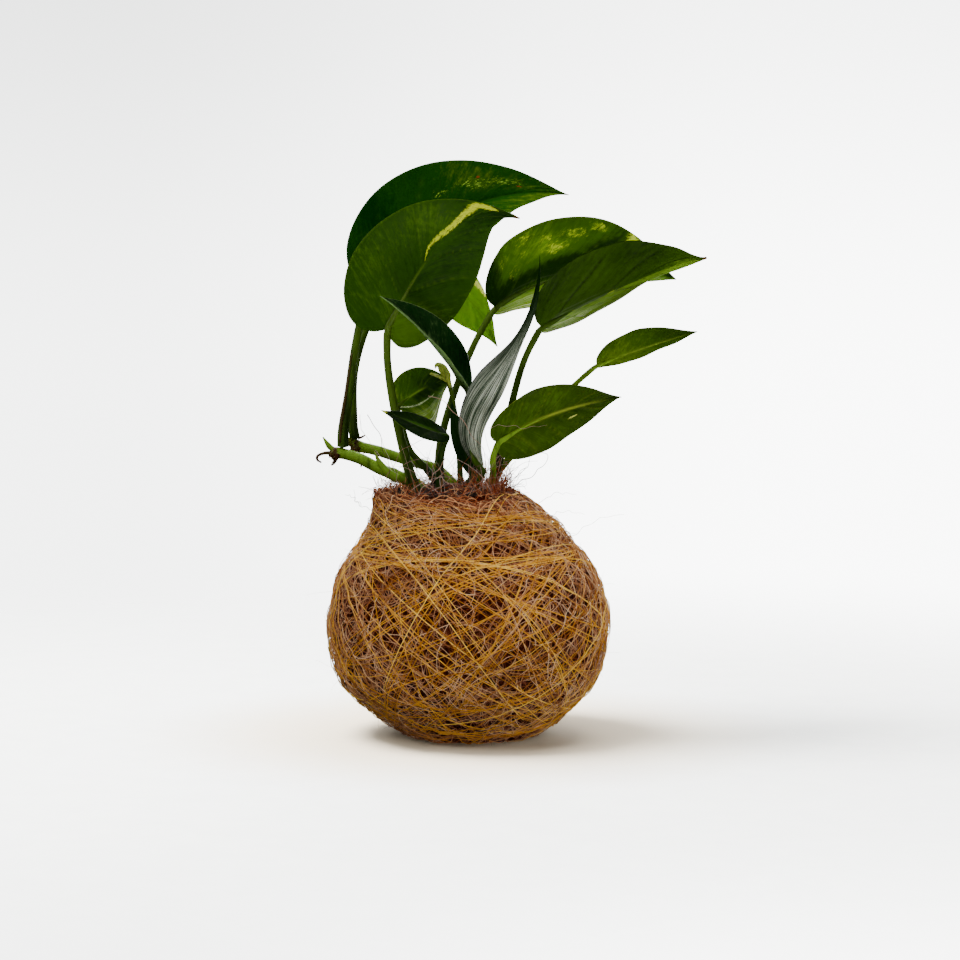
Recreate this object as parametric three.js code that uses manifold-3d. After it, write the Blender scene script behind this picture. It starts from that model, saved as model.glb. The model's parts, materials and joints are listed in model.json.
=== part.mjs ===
// A kokedama: a pothos vine whose root ball is packed in a coconut-fibre jacket and bound
// with thread. Millimetres, +Z up, +X to the viewer's right, +Y away from the viewer.
// The origin is the centre of the flat spot the ball rests on.
import * as THREE from 'three';
import { mergeVertices } from 'three/addons/utils/BufferGeometryUtils.js';
import Module from 'manifold-3d';

const wasm = await Module();
wasm.setup();

// ---------------------------------------------------------------- driving dimensions

// Outside of the fibre jacket from foot to neck: height, sideways shift, radius.
// The neck leans to the left of the ball, where the vines leave it.
const JACKET_RINGS = [
  [0, 1, 24.5], [2.5, 1, 27.6], [6, 0.8, 32.8], [12, 0.5, 40], [18.5, 0.3, 46.7],
  [25, 0, 51.2], [35, 0, 54], [45, 0.2, 55.1], [53, 0.2, 54.2], [64, -0.2, 51],
  [71, -0.6, 46.6], [79, -0.8, 40.6], [85, -1.8, 36], [93, -5.6, 31], [98.5, -9.5, 26.8],
];
const JACKET_SIDES = 36;
const JACKET_CLUMP = 0.35; // height of the uneven clumps of fibre
const JACKET_DEPTH = 4; // thickness of the fibre at the belly and foot
const NECK_DEPTH = 2.7; // thinner where it is gathered at the neck
const SOIL_GAP = 0.45; // between the fibre and the soil inside it
const SOIL_EDGE = 97.6; // soil height at the neck
const SOIL_CROWN = 100.4; // soil height in the middle

const THREAD_RADIUS = 0.8;
const THREAD_STAND = 1.5; // thread centre above the jacket
const THREAD_STEPS = 32;
// Each turn of thread: height of its centre, tilt in degrees, bearing of its high side.
const THREAD_TURNS = [
  [41, 39, 8], [42, 38, 172], [43, 37, 262], [44, 36, 318],
  [47, 33, 78], [58, 27, 20], [60, 24, 200], [75, 5, 80],
];

const BLADE_THICKNESS = 0.8;
const SOCKET_DEPTH = 7; // length of the straight foot that a stalk has in the soil
const SOCKET_PLAY = 0.5;
const STALK_SIDES = 6;
const STEM_STEPS = 1.4; // rings of a stalk or vine for each of its points
const RIB_SHARE = 0.4; // the stalk runs on under the blade as its raised midrib

// Leaf edge from base to tip, as [along the length, share of half width, where the same
// row meets the midrib]. The first is heart-shaped, the second egg-shaped.
const HEART_EDGE = [
  [0, 0, 0], [-0.05, 0.18, 0.012], [-0.07, 0.42, 0.028], [-0.03, 0.68, 0.055],
  [0.08, 0.9, 0.1], [0.25, 1, 0.2], [0.43, 0.94, 0.34], [0.6, 0.76, 0.5],
  [0.76, 0.48, 0.67], [0.88, 0.21, 0.82], [0.95, 0.07, 0.93], [1, 0, 1],
];
const EGG_EDGE = [
  [0, 0, 0], [0.01, 0.15, 0.012], [0.04, 0.38, 0.03], [0.1, 0.62, 0.06],
  [0.18, 0.82, 0.12], [0.3, 0.97, 0.24], [0.44, 1, 0.38], [0.6, 0.86, 0.54],
  [0.76, 0.56, 0.7], [0.88, 0.26, 0.83], [0.95, 0.09, 0.93], [1, 0, 1],
];

// Every leaf with its stalk. rib: four control points of the midrib, base to tip. face:
// where the upper side looks. half: left and right half widths, as seen from above with
// the tip ahead. fold: how far each half is raised, in degrees. heart: for each half,
// 1 for a heart-shaped base and 0 for an egg-shaped one. stalk: points from the foot up to the
// base of the blade. radius: of the stalk at its foot and at the blade.
const LEAVES = [
  { name: 'leaf_top_back', color: 0x1d4a1c, steps: 12, cells: 2,
    rib: [[-34, 8, 184], [-24, 20, 203], [8, 46, 223], [42, 58, 217]],
    face: [0.5, -0.77, 0.4], half: [25.3, 22], fold: [8, 40], foldTip: [0, 48],
    heart: [1.1, 1], stalk: [[-50, -6, 116.9], [-49.8, -6, 124], [-47.6, -5, 138],
      [-45.2, -1, 156], [-42, 3, 170], [-34, 8, 184]], radius: [2.1, 1.3] },
  { name: 'leaf_left_front', color: 0x3c6a1f, steps: 12, cells: 2,
    rib: [[-32, -14, 164], [-20, -30, 187], [-4, -50, 218], [20, -58, 208]],
    face: [0.33, 0.82, 0.45], faceTip: [0.3, 0.5, 0.82],
    half: [24, 25.8], fold: [35, 4], foldTip: [0, 0], heart: [1.2, 1.05],
    rooted: true, stalk: [[-21, -14, 101], [-24.5, -15, 112], [-29, -16, 132],
      [-31.7, -16, 150], [-32, -14, 164]], radius: [2, 1.4] },
  { name: 'leaf_right_back', color: 0x3f7320, steps: 12, cells: 2,
    rib: [[11, 12, 172], [27, 28, 184], [63, 48, 191], [87, 58, 182]],
    face: [-0.5, 0.62, 0.6], half: [22, 31], fold: [20, 11], foldTip: [20, 0],
    heart: [0, 0.9],
    rooted: true, stalk: [[-12, 12, 101], [-11, 12, 118], [-5, 11, 139],
      [3, 11, 158], [11, 12, 172]], radius: [1.7, 1.2] },
  { name: 'leaf_right_front', color: 0x38611d, steps: 12, cells: 2,
    rib: [[29, -14, 165], [47, -4, 174], [77, 12, 189], [97, 20, 192]],
    face: [-0.5, 0.65, 0.57], faceTip: [-0.35, 0.35, 0.85],
    half: [22, 31], fold: [26, 2], foldTip: [6, 2], heart: [0, 0.7],
    rooted: true, stalk: [[10.5, 1, 101], [15, -2, 122], [19, -6, 140],
      [23, -11, 153], [29, -14, 165]], radius: [1.7, 1.2] },
  { name: 'leaf_right_small', color: 0x5b8f22, steps: 10, cells: 2,
    rib: [[52, 4, 149], [63, 8, 153], [78, 13, 158], [93, 16, 162]],
    face: [-0.39, 0.78, 0.49], half: [10, 9.8], fold: [30, 4], heart: [0.1, 0.3],
    rooted: true, stalk: [[8.5, 8, 101], [20, 8, 115], [35, 6, 133], [44, 4, 142],
      [52, 4, 149]], radius: [1.5, 0.9] },
  { name: 'leaf_low_right', color: 0x3f6f1e, steps: 10, cells: 2,
    rib: [[12, -26, 120], [25, -18, 129], [43, -6, 134], [62, 4, 136]],
    face: [-0.5, 0.8, 0.33], half: [15.2, 12.4], fold: [0, 15], heart: [0.5, 0.6],
    rooted: true, stalk: [[9.5, -9, 101], [10, -17, 108.5], [10, -23, 114],
      [12, -26, 120]], radius: [1.5, 1.1] },
  { name: 'leaf_hanging', color: 0x6b9c2a, steps: 10, cells: 2,
    rib: [[-18, 30, 195], [-7, 34, 185], [3, 36, 172], [12, 32, 155]],
    face: [0.2, -0.7, 0.6], half: [10, 18], fold: [8, 8], heart: [1, 1],
    stalk: [[-45.5, 2, 119.5], [-46.4, 2.5, 127], [-45.8, 8, 147], [-39.6, 16, 167],
      [-28, 26, 186], [-18, 30, 195]], radius: [1.9, 1.1] },
  { name: 'leaf_folded_upper', color: 0x17371c, steps: 10, cells: 2,
    rib: [[0, -5, 139.5], [-11, -19, 154], [-21, -34, 170], [-34, -40, 178.2]],
    face: [0.45, -0.8, 0.45], half: [9, 10.8], fold: [55, 20], heart: [0.3, 0.2],
    rooted: true, stalk: [[3, -1, 101], [3, -1, 118], [1.5, -2.5, 131], [0, -5, 139.5]],
    radius: [1.4, 1.1] },
  { name: 'leaf_rolled_silver', color: 0x9aa78c, steps: 10, cells: 2,
    rib: [[6, -14, 108], [-16.5, -22, 134], [30, -32, 150], [28, -37, 194]],
    face: [0.3, 0.9, 0.2], half: [8.6, 10.2], fold: [45, 45], heart: [0, 0], roll: 0.6,
    rooted: true, stalk: [[4, -11, 101], [6, -14, 108]], radius: [1.5, 1.3] },
  { name: 'leaf_left_inner', color: 0x35592c, steps: 10, cells: 2,
    rib: [[-28.5, -4, 132.7], [-23, -4, 137.2], [-16, -1, 142.6], [-6.5, 2, 142.6]],
    face: [-0.3, 0.95, 0.1], half: [16.5, 9.8], fold: [8, 5], heart: [0, 0.2],
    rooted: true, stalk: [[-12, -2, 101], [-17, -3.5, 108], [-23, -5, 115],
      [-26, -5, 124], [-28.5, -4, 132.7]], radius: [1.5, 1] },
  { name: 'leaf_folded_low', color: 0x1f4420, steps: 9, cells: 2,
    rib: [[-8, -16, 122], [-15, -21, 124], [-25, -26, 129], [-34, -29, 133]],
    face: [0, -0.6, 0.8], half: [7, 6], fold: [0, 10], heart: [0.3, 0.3],
    rooted: true, stalk: [[-11, -13, 101], [-11, -15, 111], [-10, -16, 117],
      [-8, -16, 122]], radius: [1.8, 1.2] },
  { name: 'leaf_sheath', color: 0x26502a, steps: 8, cells: 1,
    rib: [[2, -7, 105], [0, -9, 113], [-5, -10, 121], [-6.5, -10, 136]],
    face: [0.2, -0.95, 0.2], half: [4.2, 3.8], fold: [20, 20], heart: [0, 0],
    rooted: true, stalk: [[-1, -7, 101], [2, -7, 105]], radius: [1.5, 1.2] },
  { name: 'leaf_unfurling', color: 0x7fa046, steps: 8, cells: 1,
    rib: [[-8, -5, 144], [-10.5, -7, 149], [-12.5, -8, 150.5], [-13, -9, 148]],
    face: [0, -0.3, 0.95], half: [3.4, 3.4], fold: [35, 35], heart: [0.2, 0.2],
    rooted: true, stalk: [[-3, 1, 101], [-4, -1, 121], [-6, -3, 135], [-8, -5, 144]],
    radius: [1.2, 0.9] },
];

// Bare vines that leave the crown to the left and carry the two outer stalks.
// bumps are nodes, buds and root stubs: centre, end, radius at the centre, at the end.
const VINES = [
  { name: 'vine_stem_front', color: 0x5d7d2c, radius: [2.3, 2.1],
    rooted: true, path: [[-19, -8, 101], [-24, -8, 103.6], [-35, -8, 108],
      [-43, -7.2, 112], [-50, -6, 114], [-56, -6, 114.2], [-60, -6.5, 112.6]],
    bumps: [
      [[-53, -6, 114], [-58.5, -5.5, 120.8], 2.2, 0.7],
      [[-52, -6.5, 114], [-53.5, -7.5, 109.6], 2.3, 0.9],
      [[-59, -6.3, 113.2], [-57.8, -7.6, 110.4], 1.2, 0.6],
      [[-29, -9, 105.5], [-36.5, -11, 111], 2.2, 0.7]] },
  { name: 'vine_stem_back', color: 0x6c8d33, radius: [2.1, 2],
    rooted: true, path: [[-6, 5.5, 101], [-12, 5, 106.4], [-19, 4.5, 109],
      [-29, 4, 112], [-37, 3, 114.6], [-46.5, 2, 116.8]],
    bumps: [
      [[-44, 2.5, 116.5], [-46.5, 4.5, 112.6], 2.4, 1],
      [[-45, 2, 116.6], [-49.3, 3.4, 118.6], 2, 0.8]] },
];

// ---------------------------------------------------------------- small helpers

const vec = (p) => new THREE.Vector3(p[0], p[1], p[2]);
const rad = THREE.MathUtils.degToRad;
const mix = (a, b, t) => a + (b - a) * t;
const ease = (x, from, to) => THREE.MathUtils.smoothstep(x, from, to);

// Value on a uniform Catmull-Rom spline through rows of numbers, for t in 0..1.
function spline(rows, t) {
  const last = rows.length - 1;
  const place = Math.min(Math.max(t, 0), 1) * last;
  const i = Math.min(Math.floor(place), last - 1);
  const f = place - i;
  const before = (k) => (i > 0 ? rows[i - 1][k] : 2 * rows[0][k] - rows[1][k]);
  const after = (k) =>
    i + 2 <= last ? rows[i + 2][k] : 2 * rows[last][k] - rows[last - 1][k];
  return rows[0].map((_, k) => {
    const [a, b, c, d] = [before(k), rows[i][k], rows[i + 1][k], after(k)];
    return 0.5 * (2 * b + (c - a) * f + (2 * a - 5 * b + 4 * c - d) * f * f +
      (3 * b - a - 3 * c + d) * f * f * f);
  });
}

function solid(points, faces) {
  const raw = new THREE.BufferGeometry();
  raw.setAttribute('position',
    new THREE.Float32BufferAttribute(points.flatMap((p) => p.toArray()), 3));
  raw.setIndex(faces.filter(([a, b, c]) => a !== b && b !== c && c !== a).flat());
  const merged = mergeVertices(raw, 1e-3);
  const keep = [];
  const ids = merged.index.array;
  for (let i = 0; i < ids.length; i += 3) {
    const [a, b, c] = [ids[i], ids[i + 1], ids[i + 2]];
    if (a !== b && b !== c && c !== a) keep.push(a, b, c);
  }
  return new wasm.Manifold(new wasm.Mesh({
    numProp: 3,
    vertProperties: merged.attributes.position.array,
    triVerts: new Uint32Array(keep),
  }));
}

// Closed skin over a stack of rings that all have the same number of points.
function loft(rings) {
  const n = rings[0].length;
  const faces = [];
  for (let r = 0; r + 1 < rings.length; r++) {
    for (let i = 0; i < n; i++) {
      const j = (i + 1) % n;
      faces.push([r * n + i, r * n + j, (r + 1) * n + j]);
      faces.push([r * n + i, (r + 1) * n + j, (r + 1) * n + i]);
    }
  }
  const top = (rings.length - 1) * n;
  for (let i = 1; i + 1 < n; i++) {
    faces.push([0, i + 1, i]);
    faces.push([top, top + i, top + i + 1]);
  }
  return solid(rings.flat(), faces);
}

// Rings of a tube along points, each with its own radius, turned as little as possible.
function tubeRings(points, radii, sides) {
  let across = null;
  return points.map((point, i) => {
    const ahead = points[Math.min(i + 1, points.length - 1)];
    const behind = points[Math.max(i - 1, 0)];
    const along = ahead.clone().sub(behind).normalize();
    if (!across) {
      const start = Math.abs(along.x) < 0.8 ? vec([1, 0, 0]) : vec([0, 1, 0]);
      across = start.cross(along).normalize();
    }
    across.sub(along.clone().multiplyScalar(across.dot(along))).normalize();
    const other = along.clone().cross(across);
    return Array.from({ length: sides }, (_, k) => {
      const turn = (2 * Math.PI * k) / sides;
      return point.clone()
        .addScaledVector(across, Math.cos(turn) * radii[i])
        .addScaledVector(other, Math.sin(turn) * radii[i]);
    });
  });
}

function stick(from, to, radiusFrom, radiusTo, sides = 6) {
  return loft(tubeRings([vec(from), vec(to)], [radiusFrom, radiusTo], sides));
}

// ---------------------------------------------------------------- root ball

// Jacket surface at a height: sideways shift and radius.
function jacketAt(z) {
  const rows = JACKET_RINGS;
  let i = rows.findIndex((row) => row[0] > z) - 1;
  if (i < 0) i = z <= rows[0][0] ? 0 : rows.length - 2;
  const f = (z - rows[i][0]) / (rows[i + 1][0] - rows[i][0]);
  return [mix(rows[i][1], rows[i + 1][1], f), mix(rows[i][2], rows[i + 1][2], f)];
}

function ring(z, shift, radius, clump = 0) {
  return Array.from({ length: JACKET_SIDES }, (_, k) => {
    const a = (2 * Math.PI * k) / JACKET_SIDES;
    const uneven = clump * (Math.sin(3 * a + z / 7) * 0.5 + Math.sin(7 * a - z / 5) * 0.5);
    const r = radius + uneven;
    return vec([shift + r * Math.cos(a), r * Math.sin(a), z]);
  });
}

function insideRings(depthMore) {
  const top = JACKET_RINGS[JACKET_RINGS.length - 1][0];
  const heights = [JACKET_DEPTH + depthMore, 9, 16, 27, 45, 60, 72, 80, 87, 93.5, top];
  return heights.map((z) => {
    const [shift, radius] = jacketAt(z);
    const depth = mix(JACKET_DEPTH, NECK_DEPTH, ease(z, 60, 95)) + depthMore;
    const undercut = z < 12 ? 1.2 * (1 - z / 12) : 0;
    return { z, shift, radius: radius - depth - undercut };
  });
}

function coirJacket() {
  const outside = loft(JACKET_RINGS.map(([z, shift, radius]) => {
    const clump = z > 4 && z < 96 ? JACKET_CLUMP : 0;
    return ring(z, shift, radius, clump);
  }));
  const inner = insideRings(0).map(({ z, shift, radius }) => ring(z, shift, radius));
  const mouth = inner[inner.length - 1].map((p) => p.clone().setZ(p.z + 5));
  return outside.subtract(loft([...inner, mouth]));
}

function soilBall() {
  const walls = insideRings(SOIL_GAP).filter(({ z }) => z < SOIL_EDGE - 2);
  const edge = jacketAt(SOIL_EDGE);
  const edgeRadius = edge[1] - NECK_DEPTH - SOIL_GAP;
  const crown = [[1, 0], [0.75, 0.55], [0.4, 0.9], [0.12, 1]].map(([share, rise]) =>
    ring(mix(SOIL_EDGE, SOIL_CROWN, rise), edge[0], edgeRadius * share));
  let ball = loft([...walls.map((w) => ring(w.z, w.shift, w.radius)), ...crown]);
  for (const { stalk, path, radius, rooted } of [...LEAVES, ...VINES]) {
    if (!rooted) continue;
    const [x, y, z] = (stalk || path)[0];
    const wide = (radius[0] + SOCKET_PLAY) / Math.cos(Math.PI / 8);
    const low = [x, y, z - SOCKET_DEPTH - SOCKET_PLAY];
    const high = [x, y, SOIL_CROWN + 5];
    ball = ball.subtract(stick(low, high, wide, wide, 8));
  }
  return ball;
}

// One closed turn of thread lying on the jacket in a tilted plane.
function threadTurn([middle, tilt, bearing]) {
  const slope = Math.tan(rad(tilt));
  const points = Array.from({ length: THREAD_STEPS }, (_, k) => {
    const a = (2 * Math.PI * k) / THREAD_STEPS;
    const lean = slope * Math.cos(a - rad(bearing));
    let low = 4;
    let high = 95;
    for (let n = 0; n < 30; n++) {
      const z = (low + high) / 2;
      if (z < middle + lean * jacketAt(z)[1]) low = z;
      else high = z;
    }
    const [shift, radius] = jacketAt(low);
    const [, above] = jacketAt(low + 1);
    const [, below] = jacketAt(low - 1);
    const out = vec([Math.cos(a), Math.sin(a), (below - above) / 2]).normalize();
    const on = vec([shift + radius * Math.cos(a), radius * Math.sin(a), low]);
    return { at: on.addScaledVector(out, THREAD_STAND), out };
  });
  const rings = points.map(({ at, out }, k) => {
    const ahead = points[(k + 1) % THREAD_STEPS].at;
    const behind = points[(k + THREAD_STEPS - 1) % THREAD_STEPS].at;
    const along = ahead.clone().sub(behind).normalize();
    const side = along.clone().cross(out).normalize();
    const up = side.clone().cross(along);
    return [0, 1, 2].map((n) => {
      const turn = (2 * Math.PI * n) / 3;
      return at.clone()
        .addScaledVector(up, Math.cos(turn) * THREAD_RADIUS)
        .addScaledVector(side, Math.sin(turn) * THREAD_RADIUS);
    });
  });
  const faces = [];
  for (let k = 0; k < THREAD_STEPS; k++) {
    for (let n = 0; n < 3; n++) {
      const next = ((k + 1) % THREAD_STEPS) * 3;
      const m = (n + 1) % 3;
      faces.push([k * 3 + n, k * 3 + m, next + m], [k * 3 + n, next + m, next + n]);
    }
  }
  return solid(rings.flat(), faces);
}

// ---------------------------------------------------------------- leaves and vines

function ribPoint(rib, u) {
  const w = [(1 - u) ** 3, 3 * (1 - u) ** 2 * u, 3 * (1 - u) * u * u, u ** 3];
  const sum = vec([0, 0, 0]);
  rib.forEach((p, i) => sum.addScaledVector(vec(p), w[i]));
  return sum;
}

// Midrib measured once: points at even steps of length, so a share of it can be found.
function measureRib(rib) {
  const count = 80;
  const points = Array.from({ length: count + 1 }, (_, i) => ribPoint(rib, i / count));
  const reach = [0];
  for (let i = 1; i <= count; i++) {
    reach.push(reach[i - 1] + points[i].distanceTo(points[i - 1]));
  }
  return { rib, reach, length: reach[count], count };
}

// Frame on the midrib at a share of its length: point, right, normal of the upper side.
function ribFrame(leaf, share) {
  const { rib, reach, length, count } = leaf.measured;
  const held = Math.min(Math.max(share, 0), 1);
  let i = 0;
  while (i < count - 1 && reach[i + 1] < held * length) i++;
  const f = (held * length - reach[i]) / (reach[i + 1] - reach[i]);
  const u = (i + f) / count;
  const point = ribPoint(rib, u);
  const along = ribPoint(rib, Math.min(u + 0.001, 1))
    .sub(ribPoint(rib, Math.max(u - 0.001, 0))).normalize();
  point.addScaledVector(along, (share - held) * length);
  const tip = leaf.faceTip || leaf.face;
  const face = vec(leaf.face).lerp(vec(tip), held).normalize();
  const right = along.clone().cross(face).normalize();
  return { point, right, normal: right.clone().cross(along) };
}

// Point of the blade and its thickness direction, for t from base to tip and v from
// the left edge, -1, to the right edge, 1.
function bladePoint(leaf, t, v) {
  const side = v < 0 ? 0 : 1;
  const heart = spline(HEART_EDGE, t);
  const egg = spline(EGG_EDGE, t);
  const [edge, wide, rib] = egg.map((e, k) => mix(e, heart[k], leaf.heart[side]));
  const slim = 1 - (leaf.roll || 0) * ease(rib, 0.3, 0.6);
  const reach = Math.abs(v);
  const share = rib + (edge - rib) * reach ** 1.3;
  const { point, right, normal } = ribFrame(leaf, share);
  const held = Math.min(Math.max(share, 0), 1);
  const fold = rad(mix(leaf.fold[side], (leaf.foldTip || leaf.fold)[side], held));
  const across = right.multiplyScalar(Math.sign(v));
  const out = across.clone().multiplyScalar(Math.cos(fold))
    .addScaledVector(normal, Math.sin(fold));
  const lean = normal.clone().multiplyScalar(Math.cos(fold))
    .addScaledVector(across, -Math.sin(fold));
  const distance = wide * reach * leaf.half[side] * slim;
  const thick = normal.clone().lerp(lean, Math.min(1, distance / 2)).normalize();
  return { at: point.addScaledVector(out, distance), thick };
}

function blade(leaf) {
  const columns = 2 * leaf.cells + 1;
  const rows = leaf.steps + 1;
  const faces = [];
  const points = [[], []];
  for (let r = 0; r < rows; r++) {
    for (let c = 0; c < columns; c++) {
      const { at, thick } = bladePoint(leaf, r / leaf.steps, c / leaf.cells - 1);
      points[0].push(at.clone().addScaledVector(thick, BLADE_THICKNESS / 2));
      points[1].push(at.clone().addScaledVector(thick, -BLADE_THICKNESS / 2));
    }
  }
  const under = rows * columns;
  const quad = (a, b, c, d, flip) => {
    for (const [x, y, z] of [[a, b, c], [a, c, d]]) {
      faces.push([x, y, z]);
      faces.push(flip ? [z, y, x] : [under + z, under + y, under + x]);
    }
  };
  for (let r = 0; r < leaf.steps; r++) {
    for (let c = 0; c + 1 < columns; c++) {
      const a = r * columns + c;
      quad(a, a + 1, a + columns + 1, a + columns);
    }
    for (const c of [0, columns - 1]) {
      const a = r * columns + c;
      const b = a + columns;
      const wall = [[a, b, under + b], [a, under + b, under + a]];
      wall.forEach((f) => faces.push(c ? [f[2], f[1], f[0]] : f));
    }
  }
  return solid(points.flat(), faces);
}

// Points and radii along a stalk or vine, with a straight foot where it is rooted.
function stemLine(path, radius, rooted) {
  const count = Math.round(path.length * STEM_STEPS);
  const points = [];
  const radii = [];
  if (rooted) {
    points.push(vec(path[0]).setZ(path[0][2] - SOCKET_DEPTH));
    radii.push(radius[0]);
  }
  for (let i = 0; i <= count; i++) {
    points.push(vec(spline(path, i / count)));
    radii.push(mix(radius[0], radius[1], i / count));
  }
  return [points, radii];
}

function stalk(leaf) {
  const [points, radii] = stemLine(leaf.stalk, leaf.radius, leaf.rooted);
  for (const k of [0.33, 0.66, 1]) {
    const { point, normal } = ribFrame(leaf, RIB_SHARE * k);
    const radius = mix(leaf.radius[1], 0.55, k);
    points.push(point.addScaledVector(normal, -radius * 0.55));
    radii.push(radius);
  }
  return loft(tubeRings(points, radii, STALK_SIDES));
}

function leafSolid(leaf) {
  leaf.measured = measureRib(leaf.rib);
  return blade(leaf).add(stalk(leaf));
}

function vineSolid(vine) {
  const [points, radii] = stemLine(vine.path, vine.radius, vine.rooted);
  let body = loft(tubeRings(points, radii, 8));
  for (const [from, to, wide, narrow] of vine.bumps) {
    body = body.add(stick(from, to, wide, narrow));
  }
  return body;
}

// ---------------------------------------------------------------- the whole part

const part = new THREE.Group();

function place(name, shape, color, roughness) {
  const mesh = shape.getMesh();
  const geometry = new THREE.BufferGeometry();
  geometry.setAttribute('position', new THREE.BufferAttribute(mesh.vertProperties, 3));
  geometry.setIndex(new THREE.BufferAttribute(mesh.triVerts, 1));
  const flat = geometry.toNonIndexed();
  flat.computeVertexNormals();
  const material = new THREE.MeshStandardMaterial({ color, roughness, metalness: 0 });
  const piece = new THREE.Mesh(flat, material);
  piece.name = name;
  part.add(piece);
}

place('soil_ball', soilBall(), 0x2a1c14, 1);
place('coir_jacket', coirJacket(), 0x8a5a36, 0.95);
place('binding_thread',
  THREAD_TURNS.map(threadTurn).reduce((all, turn) => all.add(turn)), 0xc48a22, 0.8);
for (const vine of VINES) place(vine.name, vineSolid(vine), vine.color, 0.55);
for (const leaf of LEAVES) place(leaf.name, leafSolid(leaf), leaf.color, 0.4);

export default part;
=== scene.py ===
import json
import math

import bpy
import numpy as np
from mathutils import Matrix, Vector

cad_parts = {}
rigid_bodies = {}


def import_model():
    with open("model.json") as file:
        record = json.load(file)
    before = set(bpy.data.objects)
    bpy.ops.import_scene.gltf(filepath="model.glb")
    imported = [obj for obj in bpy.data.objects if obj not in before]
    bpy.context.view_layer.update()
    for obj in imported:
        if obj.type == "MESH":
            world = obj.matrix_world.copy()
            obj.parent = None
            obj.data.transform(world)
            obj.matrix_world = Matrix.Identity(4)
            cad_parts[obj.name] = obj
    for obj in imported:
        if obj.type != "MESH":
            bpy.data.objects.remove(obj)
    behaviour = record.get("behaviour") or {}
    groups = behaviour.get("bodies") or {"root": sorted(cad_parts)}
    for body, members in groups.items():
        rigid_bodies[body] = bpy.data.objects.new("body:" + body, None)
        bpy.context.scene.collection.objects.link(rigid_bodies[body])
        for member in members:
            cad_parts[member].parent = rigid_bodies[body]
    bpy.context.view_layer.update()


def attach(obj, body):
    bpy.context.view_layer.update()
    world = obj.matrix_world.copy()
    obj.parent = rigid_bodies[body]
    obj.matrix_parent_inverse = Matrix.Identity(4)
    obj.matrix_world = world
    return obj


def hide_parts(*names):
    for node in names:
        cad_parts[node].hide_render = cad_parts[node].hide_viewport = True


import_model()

MM = 0.001
TAU = 2 * math.pi

# ------------------------------------------------------------------ the plant's sizes

# Outside of the fibre jacket: height, sideways shift, radius.
JACKET_RINGS = [
    (0, 1, 24.5), (2.5, 1, 27.6), (6, 0.8, 32.8), (12, 0.5, 40), (18.5, 0.3, 46.7),
    (25, 0, 51.2), (35, 0, 54), (45, 0.2, 55.1), (53, 0.2, 54.2), (64, -0.2, 51),
    (71, -0.6, 46.6), (79, -0.8, 40.6), (85, -1.8, 36), (93, -5.6, 31), (98.5, -9.5, 26.8),
]
# Main turns of thread: height of the centre, tilt and bearing of the high side.
THREAD_TURNS = [
    (41, 39, 8), (42, 38, 172), (43, 37, 262), (44, 36, 318),
    (47, 33, 78), (58, 27, 20), (60, 24, 200), (75, 5, 80),
]
# Edge of half a blade: share along it, share of its half width, share of the midrib there.
HEART_EDGE = [
    (0, 0, 0), (-0.05, 0.18, 0.012), (-0.07, 0.42, 0.028), (-0.03, 0.68, 0.055),
    (0.08, 0.9, 0.1), (0.25, 1, 0.2), (0.43, 0.94, 0.34), (0.6, 0.76, 0.5),
    (0.76, 0.48, 0.67), (0.88, 0.21, 0.82), (0.95, 0.07, 0.93), (1, 0, 1),
]
EGG_EDGE = [
    (0, 0, 0), (0.01, 0.15, 0.012), (0.04, 0.38, 0.03), (0.1, 0.62, 0.06),
    (0.18, 0.82, 0.12), (0.3, 0.97, 0.24), (0.44, 1, 0.38), (0.6, 0.86, 0.54),
    (0.76, 0.56, 0.7), (0.88, 0.26, 0.83), (0.95, 0.09, 0.93), (1, 0, 1),
]
SOCKET = 7           # depth of a stalk's hole in the soil
NECK_X = -9.5        # the jacket's neck leans to the left
CROWN_R = 24.2       # radius of the soil at the neck
FOOT_ROWS = 40       # rows of the jacket's surface on its flat foot
HALF_THICK = 0.24    # half the thickness of a blade
HAIR_SIDE = np.array([0.31, 0.52, 0.8])    # any way that no hair runs along
GREEN_TINT = (0.75, 1.0, 0.35, 1.0)

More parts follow.
